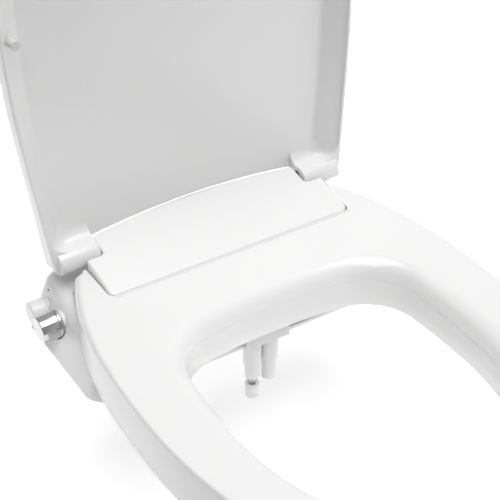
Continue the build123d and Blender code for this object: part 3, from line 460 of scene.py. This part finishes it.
def mouthOutline():
    """Right-hand outline of the opening and its normals away from it, from the rear to the front."""
    # The corner's circle touches the rear bow and the side bow from within, so its centre lies where two
    # circles cross: one about each bow's centre, with the bow's radius less the corner's.
    half, corner = seat["mouthHalf"], seat["mouthCorner"]
    rearCentre = np.array([0, seat["mouthRearY"] - seat["mouthRearRadius"]])
    sideCentre = np.array([half - seat["mouthSideRadius"], seat["mouthWidestY"]])
    rearReach, sideReach = seat["mouthRearRadius"] - corner, seat["mouthSideRadius"] - corner
    gap = sideCentre - rearCentre
    apart = np.linalg.norm(gap)
    along = (rearReach ** 2 - sideReach ** 2 + apart ** 2) / (2 * apart)
    across = math.sqrt(rearReach ** 2 - along ** 2)
    unit = gap / apart
    centre = rearCentre + along * unit + across * np.array([unit[1], -unit[0]])
    if centre[0] < 0:
        centre = rearCentre + along * unit - across * np.array([unit[1], -unit[0]])
    rearAngle = math.degrees(math.atan2(*(centre - rearCentre)[::-1]))
    sideAngle = math.degrees(math.atan2(*(centre - sideCentre)[::-1]))
    t = np.radians(np.linspace(0, -90, 110))
    b = seat["mouthWidestY"] - seat["mouthFrontY"]
    front = np.stack([half * np.cos(t), seat["mouthWidestY"] + b * np.sin(t)], -1)
    normal = np.stack([np.cos(t) / half, np.sin(t) / b], -1)
    normal /= np.linalg.norm(normal, axis=1)[:, None]
    return joinRuns(arc(rearCentre, seat["mouthRearRadius"], 90, rearAngle, 40),
                    arc(centre, corner, rearAngle, sideAngle, 60),
                    arc(sideCentre, seat["mouthSideRadius"], sideAngle, 0, 24), (front, normal))


def seatRing(paint):
    """Rows run from the outer skirt over the rounded edge, across the top, and down the opening's wall."""
    # Each place on the outer line has its partner on the opening's line, matched by length along both. The
    # skirt rises in steps, the edge is a quarter circle inwards, the top goes straight to a flat middle, and
    # the lip is a quarter ellipse down to a small ledge, under which the wall drops with a slight draft. In
    # the notch the skirt bows backwards, on a circle about the hinge that passes through the notch's top
    # edge, so that the seat clears the cover as it turns.
    top, skirt = seatHigh[2], seatLow[2]
    notchX, hornY = coverHigh[0] + seat["notchGap"], seatHigh[1]
    notchY, bend = coverLow[1] - seat["notchGap"], seat["notchCorner"]
    small = seat["hornInnerRound"]
    bendRun, shoulder, side, front = sideOutline(0.0, ring["shoulderRadius"], hornY, seat["hornCorner"])
    turn = arc((notchX - bend, notchY + bend), bend, -90, 0, 12)
    outer, normal, ends = joinRuns(
        run((0, notchY), (notchX - bend, notchY), (0, 1), 50), (turn[0], -turn[1]),
        run((notchX, notchY + bend), (notchX, hornY - small), (-1, 0), 20),
        arc((notchX + small, hornY - small), small, 180, 90, 6),
        run((notchX + small, hornY), bendRun[0][0], (0, 1), 8), bendRun, shoulder, side, front)
    mouth, mouthNormal, marks = mouthOutline()
    s, o = lengthAlong(mouth), lengthAlong(outer)
    rearEnd, cornerEnd, widest = s[marks[0]], s[marks[1]], s[marks[2]]
    bendLength = cornerEnd - rearEnd

    def atY(y):  # place along the outer line where the outer side passes y
        return np.interp(-y, -outer[ends[5]:, 1], o[ends[5]:])

    places = [0, o[ends[0]], o[ends[1]], o[ends[2]], o[ends[4]], o[ends[5]], atY(-50), atY(-95), atY(-150),
              atY(-219), o[-1]]
    matched = [0] + [rearEnd + bendLength * f for f in (0.30, 0.34, 0.40, 0.46, 0.50, 0.62, 0.86)]
    matched += [cornerEnd + 0.2 * (widest - cornerEnd), widest, s[-1]]
    follow = np.interp(o, places, matched)
    inner = np.stack([np.interp(follow, s, mouth[:, k]) for k in (0, 1)], -1)
    away = np.stack([np.interp(follow, s, mouthNormal[:, k]) for k in (0, 1)], -1)
    away /= np.linalg.norm(away, axis=1)[:, None]
    width = np.interp(follow, [0, rearEnd, rearEnd + 0.3 * bendLength, rearEnd + 0.5 * bendLength,
                               rearEnd + 0.62 * bendLength, cornerEnd, widest, s[-1]],
                      [50, 50, 72, 70, 62, 40, 37, 48])[:, None]
    edge = np.where(np.arange(len(o)) <= ends[3], seat["notchEdge"],
                    np.interp(outer[:, 1], seat["edgeAt"], seat["edgeRadius"]))
    blend = np.clip((np.arange(len(o)) - ends[3]) / (ends[4] - ends[3]), 0, 1)
    edge = seat["notchEdge"] + (edge - seat["notchEdge"]) * blend
    foot = np.maximum(skirt, deckHeight(outer[:, 1]) + seat["overDeck"])
    reach = math.hypot(notchY - seatAxis[1], top - seatAxis[2])
    inNotch = np.arange(len(o)) <= ends[1]
    rows = []
    for share in np.linspace(0, 1, 8):
        z = foot + (top - edge - foot) * share
        plan = outer.copy()
        swept = seatAxis[1] - np.sqrt(np.maximum(reach ** 2 - (z - seatAxis[2]) ** 2, 0)) - notchY
        plan[:, 1] += np.where(inNotch, swept * np.clip(normal[:, 1], 0, 1), 0)
        rows.append(lift(plan, z))
    for angle in np.radians(np.linspace(0, 90, 9)[1:]):
        rows.append(lift(outer - normal * (edge * (1 - math.cos(angle)))[:, None],
                         top - edge + edge * math.sin(angle)))
    middle = inner + away * width
    rim = outer - normal * edge[:, None]
    for share in (0.5, 1.0):
        rows.append(lift(rim + (middle - rim) * share, top))
    lip = inner + away * seat["mouthRound"]
    rows.append(lift((middle + lip) / 2, top))
    depth = seat["ledgeDepth"]
    for angle in np.radians(np.linspace(0, 86, 13)):
        rows.append(lift(inner + away * seat["mouthRound"] * (1 - math.sin(angle)),
                         top - depth * (1 - math.cos(angle))))
    ledge = seat["ledge"]
    for step, z in ((ledge * 0.9, top - depth), (ledge * 0.1, top - depth - 0.35), (0, top - depth - 1.0),
                    (0, top - depth - 8), (0.3, (skirt + top - depth) / 2), (0.8, skirt + 1.0), (1.6, skirt)):
        rows.append(lift(inner + away * (step - seat["wallProud"]), z))
    rows = bothSides(np.array(rows))
    piece = makePiece("seatRing", rows.reshape(-1, 3), gridFaces(len(rows), rows.shape[1]), "seat",
                      ["seat_shell"], paint)
    thicken(piece, seat["wall"])
    return piece


def thicken(piece, wall):
    """Gives an open skin its wall, inwards."""
    shell = piece.modifiers.new("wall", "SOLIDIFY")
    shell.thickness, shell.offset = wall * mm, -1
    shell.use_even_offset = True


# ---------------------------------------------------------------- sizes of the cover, which the lid clears
cover = {"skirt": 62.0, "rearHalf": 107.0, "rearY": 38.0, "bulge": 9.0, "corner": 7.0, "notch": 4.5,
         "edge": 2.6, "wall": 2.5, "notchY": 14.25, "rearCorner": 6.0, "crisp": 3.0, "middleY": 3.0,
         "top": [(-32.4, 68.4), (-5.0, 74.6), (16.0, 79.0), (48.0, 85.5)]}


# ---------------------------------------------------------------- lid, worked out closed and then turned open
lid = {"gap": 2.5, "depth": 23.0, "panel": 3.6, "wall": 3.0, "inset": 5.0, "openAngle": 95.0,
       "edge": 9.0, "rearEdge": 1.0, "edgeGrows": 40, "corner": 6.0, "innerCorner": 16.0,
       "slope": 16.0, "fold": 3.4, "blend": 13.0, "leastWall": 0.5, "foldSoftness": 0.16,
       "shoulderRadius": 6000.0, "rimRound": 0.9, "archRim": 0.5, "archRise": 8.2, "archEndY": 20.0,
       "earAir": 1.5, "earRound": 1.5, "barrelRadius": 10.75, "barrelOuterX": 148.0, "barrelRound": 1.6,
       "centreY": -200.0}


def openLid(points):
    """Turns closed-lid points about the lid's axis to its open rest."""
    turn = math.radians(lid["openAngle"])
    dy, dz = points[..., 1] - lidAxis[1], points[..., 2] - lidAxis[2]
    y = lidAxis[1] + dy * math.cos(turn) + dz * math.sin(turn)
    z = lidAxis[2] - dy * math.sin(turn) + dz * math.cos(turn)
    return np.stack([points[..., 0], y, z], -1)


def lidPaths():
    """Outer line of the lid and the line its hollow starts at, point for point, with the parts' ends."""
    rear = lidAxis[1] + lid["barrelRadius"]
    earX, earY = cover["rearHalf"] + lid["earAir"], lidAxis[1] - lid["barrelRadius"]
    rise = lid["archRise"]
    archRadius = (earX ** 2 + rise ** 2) / (2 * rise)
    sweep = math.degrees(math.asin(earX / archRadius))
    endY = lid["archEndY"]
    arch, archNormal = arc((0, endY - rise + archRadius), archRadius, -90, -90 + sweep, 40)
    bend, shoulder, side, front = sideOutline(-lid["inset"], lid["shoulderRadius"], rear, lid["corner"])
    small = lid["earRound"]
    earSide = run((earX, endY), (earX, rear - small), (-1, 0), 12)
    earTurn = arc((earX + small, rear - small), small, 180, 90, 6)
    earRear = run((earX + small, rear), bend[0][0], (0, 1), 30)
    outer, normal, ends = joinRuns(earSide, earTurn, earRear, bend, shoulder, side, front)
    inset = lid["inset"] + lid["wall"]
    innerBend, innerShoulder, innerSide, innerFront = sideOutline(-inset, lid["shoulderRadius"], earY,
                                                                  lid["innerCorner"])
    stay = run((earX, earY), (earX, earY), (0, 1), len(earSide[0]) + len(earTurn[0]) - 1)
    innerRear = run((earX, earY), innerBend[0][0], (0, 1), len(earRear[0]))
    inner, innerNormal, marks = joinRuns(stay, innerRear, innerBend, innerShoulder, innerSide, innerFront)
    outer = np.concatenate([arch, outer])
    normal = np.concatenate([-archNormal, normal])
    inner = np.concatenate([arch, inner])
    innerNormal = np.concatenate([np.tile([0.0, 1.0], (len(arch), 1)), innerNormal])
    count = len(arch)
    return outer, normal, inner, innerNormal, count, marks + count


def easeIn(t):
    """From nothing to one, level at both ends."""
    return 3 * t ** 2 - 2 * t ** 3


def hollowGuide(inner, innerNormal, reach, marks):
    """Line where the hollow's sloped sides meet its flat floor, one point for each on the inner line."""
    # The inner line is moved inwards by its own reach. Along the rear it is squeezed towards the middle, and
    # round the corner it is a parabola between the two straight stretches, so that it never folds over.
    guide = inner - innerNormal * reach[:, None]
    ear, first, last = marks[:3]
    rear = slice(ear, first + 1)
    earX = inner[ear, 0]
    squeeze = (guide[last, 0] - lid["innerCorner"] - earX) / (inner[first, 0] - earX)
    guide[rear, 0] = earX + (inner[rear, 0] - earX) * squeeze
    t = np.linspace(0, 1, last - first + 1)[:, None]
    knee = np.array([guide[last, 0], guide[first, 1]])
    guide[first:last + 1] = (1 - t) ** 2 * guide[first] + 2 * t * (1 - t) * knee + t ** 2 * guide[last]
    return guide


def lidPanel(paint):
    """Rows run from the middle of the top over the edge, round the rim, down the border and in again."""
    # The edge is a quarter circle that is small at the rear and grows along the shoulder. The rim is turned
    # in by a small quarter circle. Inside, the wall turns into the flat floor by a quarter circle at the rear
    # and by a straight slope with softened ends at the sides, mixed round the corner. Between the ears the
    # panel has no rim.
    outer, normal, inner, innerNormal, archCount, marks = lidPaths()
    rim = seatHigh[2] + lid["gap"]
    top = rim + lid["depth"]
    ceiling = top - lid["panel"]
    index = np.arange(len(outer))
    inArch = index < archCount
    edge = lid["rearEdge"] + (lid["edge"] - lid["rearEdge"]) * easeIn(
        np.clip((index - marks[1] - 1) / lid["edgeGrows"], 0, 1))
    overBarrel = [lid["barrelOuterX"] - 2, lid["barrelOuterX"] + 1.5]
    rimZ = np.where(inArch, ceiling, rim)
    rimZ = np.where((index >= archCount) & (index <= marks[1]),
                    np.interp(outer[:, 0], overBarrel, [lidAxis[2], rim]), rimZ)
    small = np.where(inArch, lid["archRim"], lid["rimRound"])
    bend = np.where(inArch, 0.0, easeIn(np.clip((index - marks[1]) / (marks[2] - marks[1]), 0, 1)))
    reach = lid["blend"] * (1 - bend) + lid["slope"] * bend
    reach = reach + np.where(inArch, lid["archEndY"] - inner[archCount, 1], 0)
    guide = hollowGuide(inner, innerNormal, reach, marks)
    centre = np.array([0, lid["centreY"]])
    rows = [lift(np.tile(centre, (len(outer), 1)), top)]
    rimTop = outer - normal * edge[:, None]
    for share in (0.15, 0.35, 0.55, 0.75, 0.9, 1.0):
        rows.append(lift(centre + (guide - centre) * share, top))
    for share in (0.5, 1.0):
        rows.append(lift(guide + (rimTop - guide) * share, top))
    for angle in np.radians(np.linspace(90, 0, 11)[1:]):
        rows.append(lift(outer - normal * (edge * (1 - math.cos(angle)))[:, None],
                         top - edge + edge * math.sin(angle)))
    for share in (0.5, 1.0):
        rows.append(lift(outer, (top - edge) * (1 - share) + (rimZ + small) * share))
    for angle in np.radians(np.linspace(0, 90, 5)[1:]):
        rows.append(lift(outer - normal * (small * (1 - math.cos(angle)))[:, None],
                         rimZ + small * (1 - math.sin(angle))))
    lip = inner + innerNormal * np.where(inArch, -0.6, 0.5)[:, None]
    deep = np.where(inArch, 0.0, 1.0)
    rows.append(lift(lip, rimZ))
    rows.append(lift(lip - innerNormal * (0.4 * deep)[:, None], rimZ + 0.12 * deep))
    rows.append(lift(inner, rimZ + 0.5 * deep))
    rearWall = np.maximum(ceiling - rimZ - lid["blend"], lid["leastWall"])
    wallDepth = rearWall * (1 - bend) + lid["fold"] * bend
    rise = ceiling - rimZ - wallDepth
    rows.append(lift(inner, rimZ + 0.6 * wallDepth * deep))
    for t in np.linspace(0, 1, 12):
        straight = t - lid["foldSoftness"] * math.sin(2 * math.pi * t) / (2 * math.pi)
        out = (1 - math.cos(t * math.pi / 2)) * (1 - bend) + straight * bend
        up = math.sin(t * math.pi / 2) * (1 - bend) + straight * bend
        rows.append(lift(inner + (guide - inner) * out[:, None], rimZ + (wallDepth + rise * up) * deep))
    for share in (0.97, 0.9, 0.75, 0.5, 0.25, 0.0):
        rows.append(lift(centre + (guide - centre) * share, ceiling))
    rows = bothSides(openLid(np.array(rows)))
    points, faces = outward(rows.reshape(-1, 3), gridFaces(len(rows), rows.shape[1]))
    for way in (-1, 1):
        more, moreFaces = outward(*lidBarrel(way))
        faces += [[k + len(points) for k in face] for face in moreFaces]
        points = np.concatenate([points, more])
    return makePiece("lidPanel", points, faces, "lid", ["lid_shell"], paint)


def lidBarrel(way):
    """Half-round hinge barrel under a rear corner: rows along X, closed ends with a rounded edge."""
    radius, small = lid["barrelRadius"], lid["barrelRound"]
    inner, outer = cover["rearHalf"] + lid["earAir"], lid["barrelOuterX"]
    angles = np.radians(np.linspace(0, 360, 73)[:-1])
    turned = np.radians(np.linspace(0, 90, 7))
    starts = [(inner, 0.0)] + [(inner + small * (1 - math.sin(t)), radius - small * (1 - math.cos(t)))
                               for t in turned[::-1]]
    stops = [(outer - x + inner, r) for x, r in starts[::-1]]
    rows = []
    for x, r in starts + stops:
        y = lidAxis[1] + r * np.cos(angles)
        z = lidAxis[2] + r * np.sin(angles)
        rows.append(np.stack([np.full_like(y, way * x), y, z], -1))
    rows = openLid(np.array(rows))
    return rows.reshape(-1, 3), gridFaces(len(rows), len(angles))


# ---------------------------------------------------------------- cover over the hinges
def coverHeight(y):
    """Height of the cover's top: the gentle curve through its four points."""
    fit = np.polyfit([p[0] for p in cover["top"]], [p[1] for p in cover["top"]], 2)
    return np.polyval(fit, y)


def centreCap(paint):
    """Rows run up the skirt, over the rounded edge and in to the middle."""
    # The outline is half of the plan: straight front, rounded corner, side, a step inwards with its hollow,
    # and a rear that bulges on one wide circle. Heights follow the curve of the top, and the edge is a
    # quarter circle.
    half, front, bend = coverHigh[0], coverLow[1], cover["corner"]
    rearHalf, notchY, inside = cover["rearHalf"], cover["notchY"], cover["notch"]
    drop = half - rearHalf
    rise = cover["bulge"]
    bulgeRadius = (rearHalf ** 2 + rise ** 2) / (2 * rise)
    centre = np.array([0, cover["rearY"] + rise - bulgeRadius])
    shoulder, crisp = cover["rearCorner"], cover["crisp"]
    reach = bulgeRadius - shoulder
    cornerX = rearHalf - shoulder
    corner = np.array([cornerX, centre[1] + math.sqrt(reach ** 2 - cornerX ** 2)])
    lean = math.degrees(math.atan2(corner[1] - centre[1], corner[0]))
    frontTurn = arc((half - bend, front + bend), bend, -90, 0, 14)
    rearTurn = arc((half - crisp, notchY - crisp), crisp, 0, 90, 8)
    hollow = arc((rearHalf + inside, notchY + inside), inside, -90, -180, 10)
    rearCorner = arc(corner, shoulder, 0, lean, 12)
    bulge = arc(centre, bulgeRadius, lean, 90, 50)
    outer, normal, _ = joinRuns(
        run((0, front), (half - bend, front), (0, -1), 50), frontTurn,
        run((half, front + bend), (half, notchY - crisp), (1, 0), 16), rearTurn,
        run((half - crisp, notchY), (rearHalf + inside, notchY), (0, 1), 8), (hollow[0], -hollow[1]),
        run((rearHalf, notchY + inside), rearCorner[0][0], (1, 0), 10), rearCorner, bulge)
    edge = cover["edge"]
    rows = []
    for share in (0, 0.3, 0.6, 1.0):
        rows.append(lift(outer, cover["skirt"] + (coverHeight(outer[:, 1]) - edge - cover["skirt"]) * share))
    for angle in np.radians(np.linspace(0, 90, 9)[1:]):
        plan = outer - normal * edge * (1 - math.cos(angle))
        rows.append(lift(plan, coverHeight(plan[:, 1]) - edge * (1 - math.sin(angle))))
    rim, middle = outer - normal * edge, np.array([0, cover["middleY"]])
    for share in (0.92, 0.75, 0.5, 0.25, 0.0):
        plan = middle + (rim - middle) * share
        rows.append(lift(plan, coverHeight(plan[:, 1])))
    rows = bothSides(np.array(rows))
    piece = makePiece("centreCap", rows.reshape(-1, 3), gridFaces(len(rows), rows.shape[1]), "base",
                      ["centre_cover"], paint)
    thicken(piece, cover["wall"])
    return piece


# ---------------------------------------------------------------- base casing
base = {"half": 172.0, "lean": 0.43, "rearY": 52.0, "frontY": -84.0, "rearCorner": 8.0, "frontCorner": 20.0,
        "low": 1.0, "wall": 2.5, "sideWall": 9.0, "troughRadius": 20.6, "troughAir": 1.0,
        "bevelAt": [-84, -62, -30, 20, 52], "bevelRadius": [0.3, 2.5, 5.5, 8.0, 8.0], "leastBevel": 0.3,
        "leastHeight": 0.6, "leastDeck": 1.5, "cutLow": -6.0, "troughTo": 24, "troughFrom": -20,
        "pocketAir": 0.8, "pocketX": (-230, -140), "landAir": 0.2, "cartridgeRadius": 6.9,
        "inletRadius": 10.7, "inletY": (40, 90), "casingAir": 0.3, "casingLow": -8}


def seatHalfAt(y):
    """Half width of the seat's outline at y, behind its widest place."""
    _, shoulder, side, _ = sideOutline(0.0, ring["shoulderRadius"], seatHigh[1], seat["hornCorner"])
    line = np.concatenate([shoulder[0], side[0]])
    return np.interp(-np.asarray(y), -line[:, 1], line[:, 0])


def baseForm(inset, sideInset, low, bevel):
    """Closed form of the base: its top, a rounded edge and leaning walls down to a flat underside."""
    # The top is a grid: each row keeps one y, its ends follow the side walls and the corner circles, and its
    # height is the deck's, lowered to a cylinder about the seat's hinge where the seat turns. The rounded
    # edge is a quarter circle whose size changes along the side, and the walls widen evenly downwards.
    rear, front = base["rearY"] - inset, base["frontY"] + inset
    rearBend, frontBend = base["rearCorner"] - inset, base["frontCorner"] - inset
    turned = np.linspace(0, math.pi / 2, 16)
    begin, end = base["troughFrom"], base["troughTo"]
    y = np.concatenate([front + frontBend * (1 - np.cos(turned)),
                        np.linspace(front + frontBend, begin, 16)[1:], np.linspace(begin, end, 45)[1:],
                        np.linspace(end, rear - rearBend, 8)[1:],
                        rear - rearBend + rearBend * np.sin(turned[1:])])
    deck = np.maximum(deckHeight(y) - inset, low + base["leastHeight"])
    soft = np.interp(y, base["bevelAt"], base["bevelRadius"]) * bevel + base["leastBevel"]
    soft = np.minimum(soft, 0.6 * (deck - low))
    back = np.clip((y - (rear - rearBend)) / rearBend, 0, 1)
    ahead = np.clip(((front + frontBend) - y) / frontBend, 0, 1)
    full = base["half"] - sideInset - base["lean"] * deck
    full = full - rearBend * (1 - np.sqrt(1 - back ** 2)) - frontBend * (1 - np.sqrt(1 - ahead ** 2))
    side = np.stack([np.sqrt(1 - back ** 2 - ahead ** 2), back - ahead], -1)
    x, line = full - side[:, 0] * soft, y - side[:, 1] * soft
    step = np.minimum(seatHalfAt(line) + base["troughAir"], x - base["leastDeck"])
    right = step[:, None] + (x - step)[:, None] * np.linspace(0, 1, 10)[None, :]
    middle = step[:, None] * np.linspace(-1, 1, 31)[None, :]
    plan = np.concatenate([-right[:, ::-1], middle, right], axis=1)
    columns = plan.shape[1]
    deck = np.maximum(deckHeight(line) - inset, low + base["leastHeight"])
    away = (base["troughRadius"] + inset) ** 2 - (line - seatAxis[1]) ** 2
    trough = np.where(away > 0, seatAxis[2] - np.sqrt(np.clip(away, 0, None)), np.inf)
    level = np.repeat(deck[:, None], columns, axis=1)
    level[:, 10:-10] = np.minimum(level[:, 10:-10], trough[:, None])
    top = np.stack([plan, np.repeat(line[:, None], columns, axis=1), level], -1)
    rows = len(y)
    order = np.arange(rows * columns).reshape(rows, columns)
    loop = np.concatenate([order[0, :-1], order[:-1, -1], order[-1, :0:-1], order[:0:-1, 0]])
    points = top.reshape(-1, 3)
    edge = points[loop]
    row, column = loop // columns, loop % columns
    atRight, atLeft = column == columns - 1, column == 0
    out = np.stack([np.where(atRight, 1, np.where(atLeft, -1, 0)) * side[row, 0],
                    np.where(atRight | atLeft, side[row, 1], np.where(row == 0, -1.0, 1.0))], -1)
    size = soft[row]
    skirts, faces = [], gridFaces(rows, columns, False, False)
    for angle in np.radians(np.linspace(0, 90, 8)[1:]):
        down = size * (1 - math.cos(angle))
        shift = out * (size * math.sin(angle))[:, None]
        shift[:, 0] += out[:, 0] * base["lean"] * down
        skirts.append(np.stack([edge[:, 0] + shift[:, 0], edge[:, 1] + shift[:, 1], edge[:, 2] - down], -1))
    rim = skirts[-1]
    for share in (0.25, 0.5, 0.75, 1.0):
        z = rim[:, 2] + (low - rim[:, 2]) * share
        wide = rim[:, 0] + out[:, 0] * base["lean"] * (rim[:, 2] - z)
        skirts.append(np.stack([wide, rim[:, 1], z], -1))
    count, start, previous = len(loop), rows * columns, loop
    points = np.concatenate([points] + skirts)
    for k in range(len(skirts)):
        current = start + k * count + np.arange(count)
        faces += np.stack([previous, current, np.roll(current, -1), np.roll(previous, -1)], -1).tolist()
        previous = current
    faces.append(previous[::-1].tolist())
    return points, faces


def turnedForm(profile, centre, axis, count=72):
    """Surface of revolution about an axis along X, Y or Z from (along, radius) pairs, closed on the axis."""
    t = np.linspace(0, 2 * math.pi, count, endpoint=False)
    profile = np.asarray(profile, float)
    along = np.repeat(profile[:, :1], count, axis=1)
    one, two = profile[:, 1:] * np.cos(t), profile[:, 1:] * np.sin(t)
    shapes = {"X": (along, one, two), "Y": (two, along, one), "Z": (one, two, along)}
    points = (np.stack(shapes[axis], -1) + np.asarray(centre, float)).reshape(-1, 3)
    return points, gridFaces(len(profile), count)


def softLine(corners, steps=5, weight=0.8):
    """A line through (along, radius, round) corners, each corner replaced by a conic curve of that size."""
    line = []
    for k, (a, b, size) in enumerate(corners):
        here = np.array([a, b], float)
        if size == 0 or k in (0, len(corners) - 1):
            line.append(here)
            continue
        before = np.array(corners[k - 1][:2], float) - here
        after = np.array(corners[k + 1][:2], float) - here
        start = here + before / np.linalg.norm(before) * size
        stop = here + after / np.linalg.norm(after) * size
        for t in np.linspace(0, 1, steps + 1):
            pull = 2 * t * (1 - t) * weight
            line.append((start * (1 - t) ** 2 + pull * here + stop * t ** 2) / ((1 - t) ** 2 + pull + t ** 2))
    return np.array(line)


def baseCasing(paint):
    """Base with its hollow, knob pockets, inlet hole and room for the nozzle casing cut from it."""
    body = plainMesh("baseCasing", *baseForm(0.0, 0.0, base["low"], 1.0))
    cutters = [plainMesh("hollow", *baseForm(base["wall"], base["sideWall"], base["cutLow"], 0.1))]
    landX = boxOf("pressure_knob")[1][0] + base["landAir"]
    start, end = base["pocketX"]
    for knob in ("pressure_knob", "mode_knob"):
        low, high = boxOf(knob)
        middle, radius = (low + high) / 2, (high[1] - low[1]) / 2 + base["pocketAir"]
        pocket = [(start, 0), (start, radius), (landX, radius), (landX, base["cartridgeRadius"]),
                  (end, base["cartridgeRadius"]), (end, 0)]
        cutters.append(plainMesh("pocket", *turnedForm(pocket, (0, middle[1], middle[2]), "X")))
    low, high = boxOf("water_inlet")
    middle = (low + high) / 2
    (start, end), radius = base["inletY"], base["inletRadius"]
    hole = [(start, 0), (start, radius), (end, radius), (end, 0)]
    cutters.append(plainMesh("inletHole", *turnedForm(hole, (middle[0], 0, middle[2]), "Y")))
    low, high = boxOf("nozzle_casing")
    low, high = low - base["casingAir"], high + base["casingAir"]
    low[2] = base["casingLow"]
    corners = [(x, y, z) for x in (low[0], high[0]) for y in (low[1], high[1]) for z in (low[2], high[2])]
    sides = [(0, 1, 3, 2), (4, 6, 7, 5), (0, 4, 5, 1), (2, 3, 7, 6), (0, 2, 6, 4), (1, 5, 7, 3)]
    cutters.append(plainMesh("casingRoom", corners, sides))
    for cutter in cutters:
        cut = body.modifiers.new("cut", "BOOLEAN")
        cut.operation, cut.object, cut.solver = "DIFFERENCE", cutter, "EXACT"
    made = bpy.data.meshes.new_from_object(body.evaluated_get(bpy.context.evaluated_depsgraph_get()))
    for done in [body] + cutters:
        bpy.data.objects.remove(done)
    made.name = "baseCasing"
    return pieceFromMesh("baseCasing", made, "base", ["base_shell"], paint)


def turnedPiece(name, corners, centre, axis, body, replaced, paint):
    """A piece of revolution from a softened profile."""
    points, faces = turnedForm(softLine(corners), centre, axis)
    return makePiece(name, points, faces, body, replaced, paint, 50.0)


# ---------------------------------------------------------------- knobs
knobs = [  # CAD node, piece, body, slot, radius, tip radius, groove from the base, ring behind it, its radius
    ("pressure_knob", "pressureKnob", "pressure_control", "knob_chrome", 13.0, 11.6, 3.4,
     "pressureLanding", 10.4),
    ("mode_knob", "modeKnob", "mode_control", "knob_white", 11.2, 10.9, 2.6, "modeLanding", 9.2),
]
spindle = {"bore": 3.05, "boss": 2.35, "landingBore": 7.0, "landingAir": 0.7, "landingDepth": 9.0}


def knobProfile(start, end, radius, tip, groove, wall=2.0):
    """From the flat end, over its edge and along the side to the base, then inside to the spindle's boss."""
    bore, boss = spindle["bore"], spindle["bore"] + spindle["boss"]
    return [(end, 0, 0), (end, tip - 1.7, 0.4), (end + 0.35, tip - 1.1, 0.3), (end + 0.5, tip, 0.8),
            (start - groove - 0.5, radius - 0.12, 0.2), (start - groove, radius - 0.55, 0.2),
            (start - groove + 0.5, radius - 0.1, 0.2), (start, radius, 1.1), (start, radius - wall, 0.3),
            (end + wall, tip - wall, 0.6), (end + wall, boss, 0.5), (start - 0.2, boss, 0.4),
            (start - 0.2, bore, 0.1), (end + wall + 4.2, bore, 0), (end + wall + 4.2, 0, 0)]


def buildKnobs(finishes):
    """Both knobs, each in front of a ring that closes the casing round its cartridge."""
    for node, name, body, slot, radius, tip, groove, ringName, ringRadius in knobs:
        low, high = boxOf(node)
        centre = (0, (low[1] + high[1]) / 2, (low[2] + high[2]) / 2)
        near, bore = high[0] + spindle["landingAir"], spindle["landingBore"]
        far = high[0] + spindle["landingDepth"]
        land = [(near, bore, 0), (near, ringRadius, 0.5), (far, ringRadius, 0), (far, bore, 0),
                (near, bore, 0)]
        turnedPiece(ringName, land, centre, "X", "base", [], finishes["inner_white"])
        turnedPiece(name, knobProfile(high[0], low[0], radius, tip, groove), centre, "X", body,
                    [node], finishes[slot])


# ---------------------------------------------------------------- carried-over parts
def paintNodes(finishes):
    """Gives each CAD node the finish of its slot in the record."""
    slots = {entry["node"]: entry["material_slot"] for entry in frame["record"]["subparts"]}
    for name, node in nodes.items():
        node.data.materials.clear()
        node.data.materials.append(finishes[slots[name]])


buildCamera()
buildLights()
buildFloor()
print("stage: camera, light and floor")
finishes = buildFinishes()
paintNodes(finishes)
print("stage: finishes")
seatRing(finishes["shell_white"])
print("stage: seat ring")
lidPanel(finishes["shell_white"])
print("stage: lid")
centreCap(finishes["shell_white"])
print("stage: cover")
baseCasing(finishes["shell_white"])
print("stage: base")
buildKnobs(finishes)
print("stage: knobs")
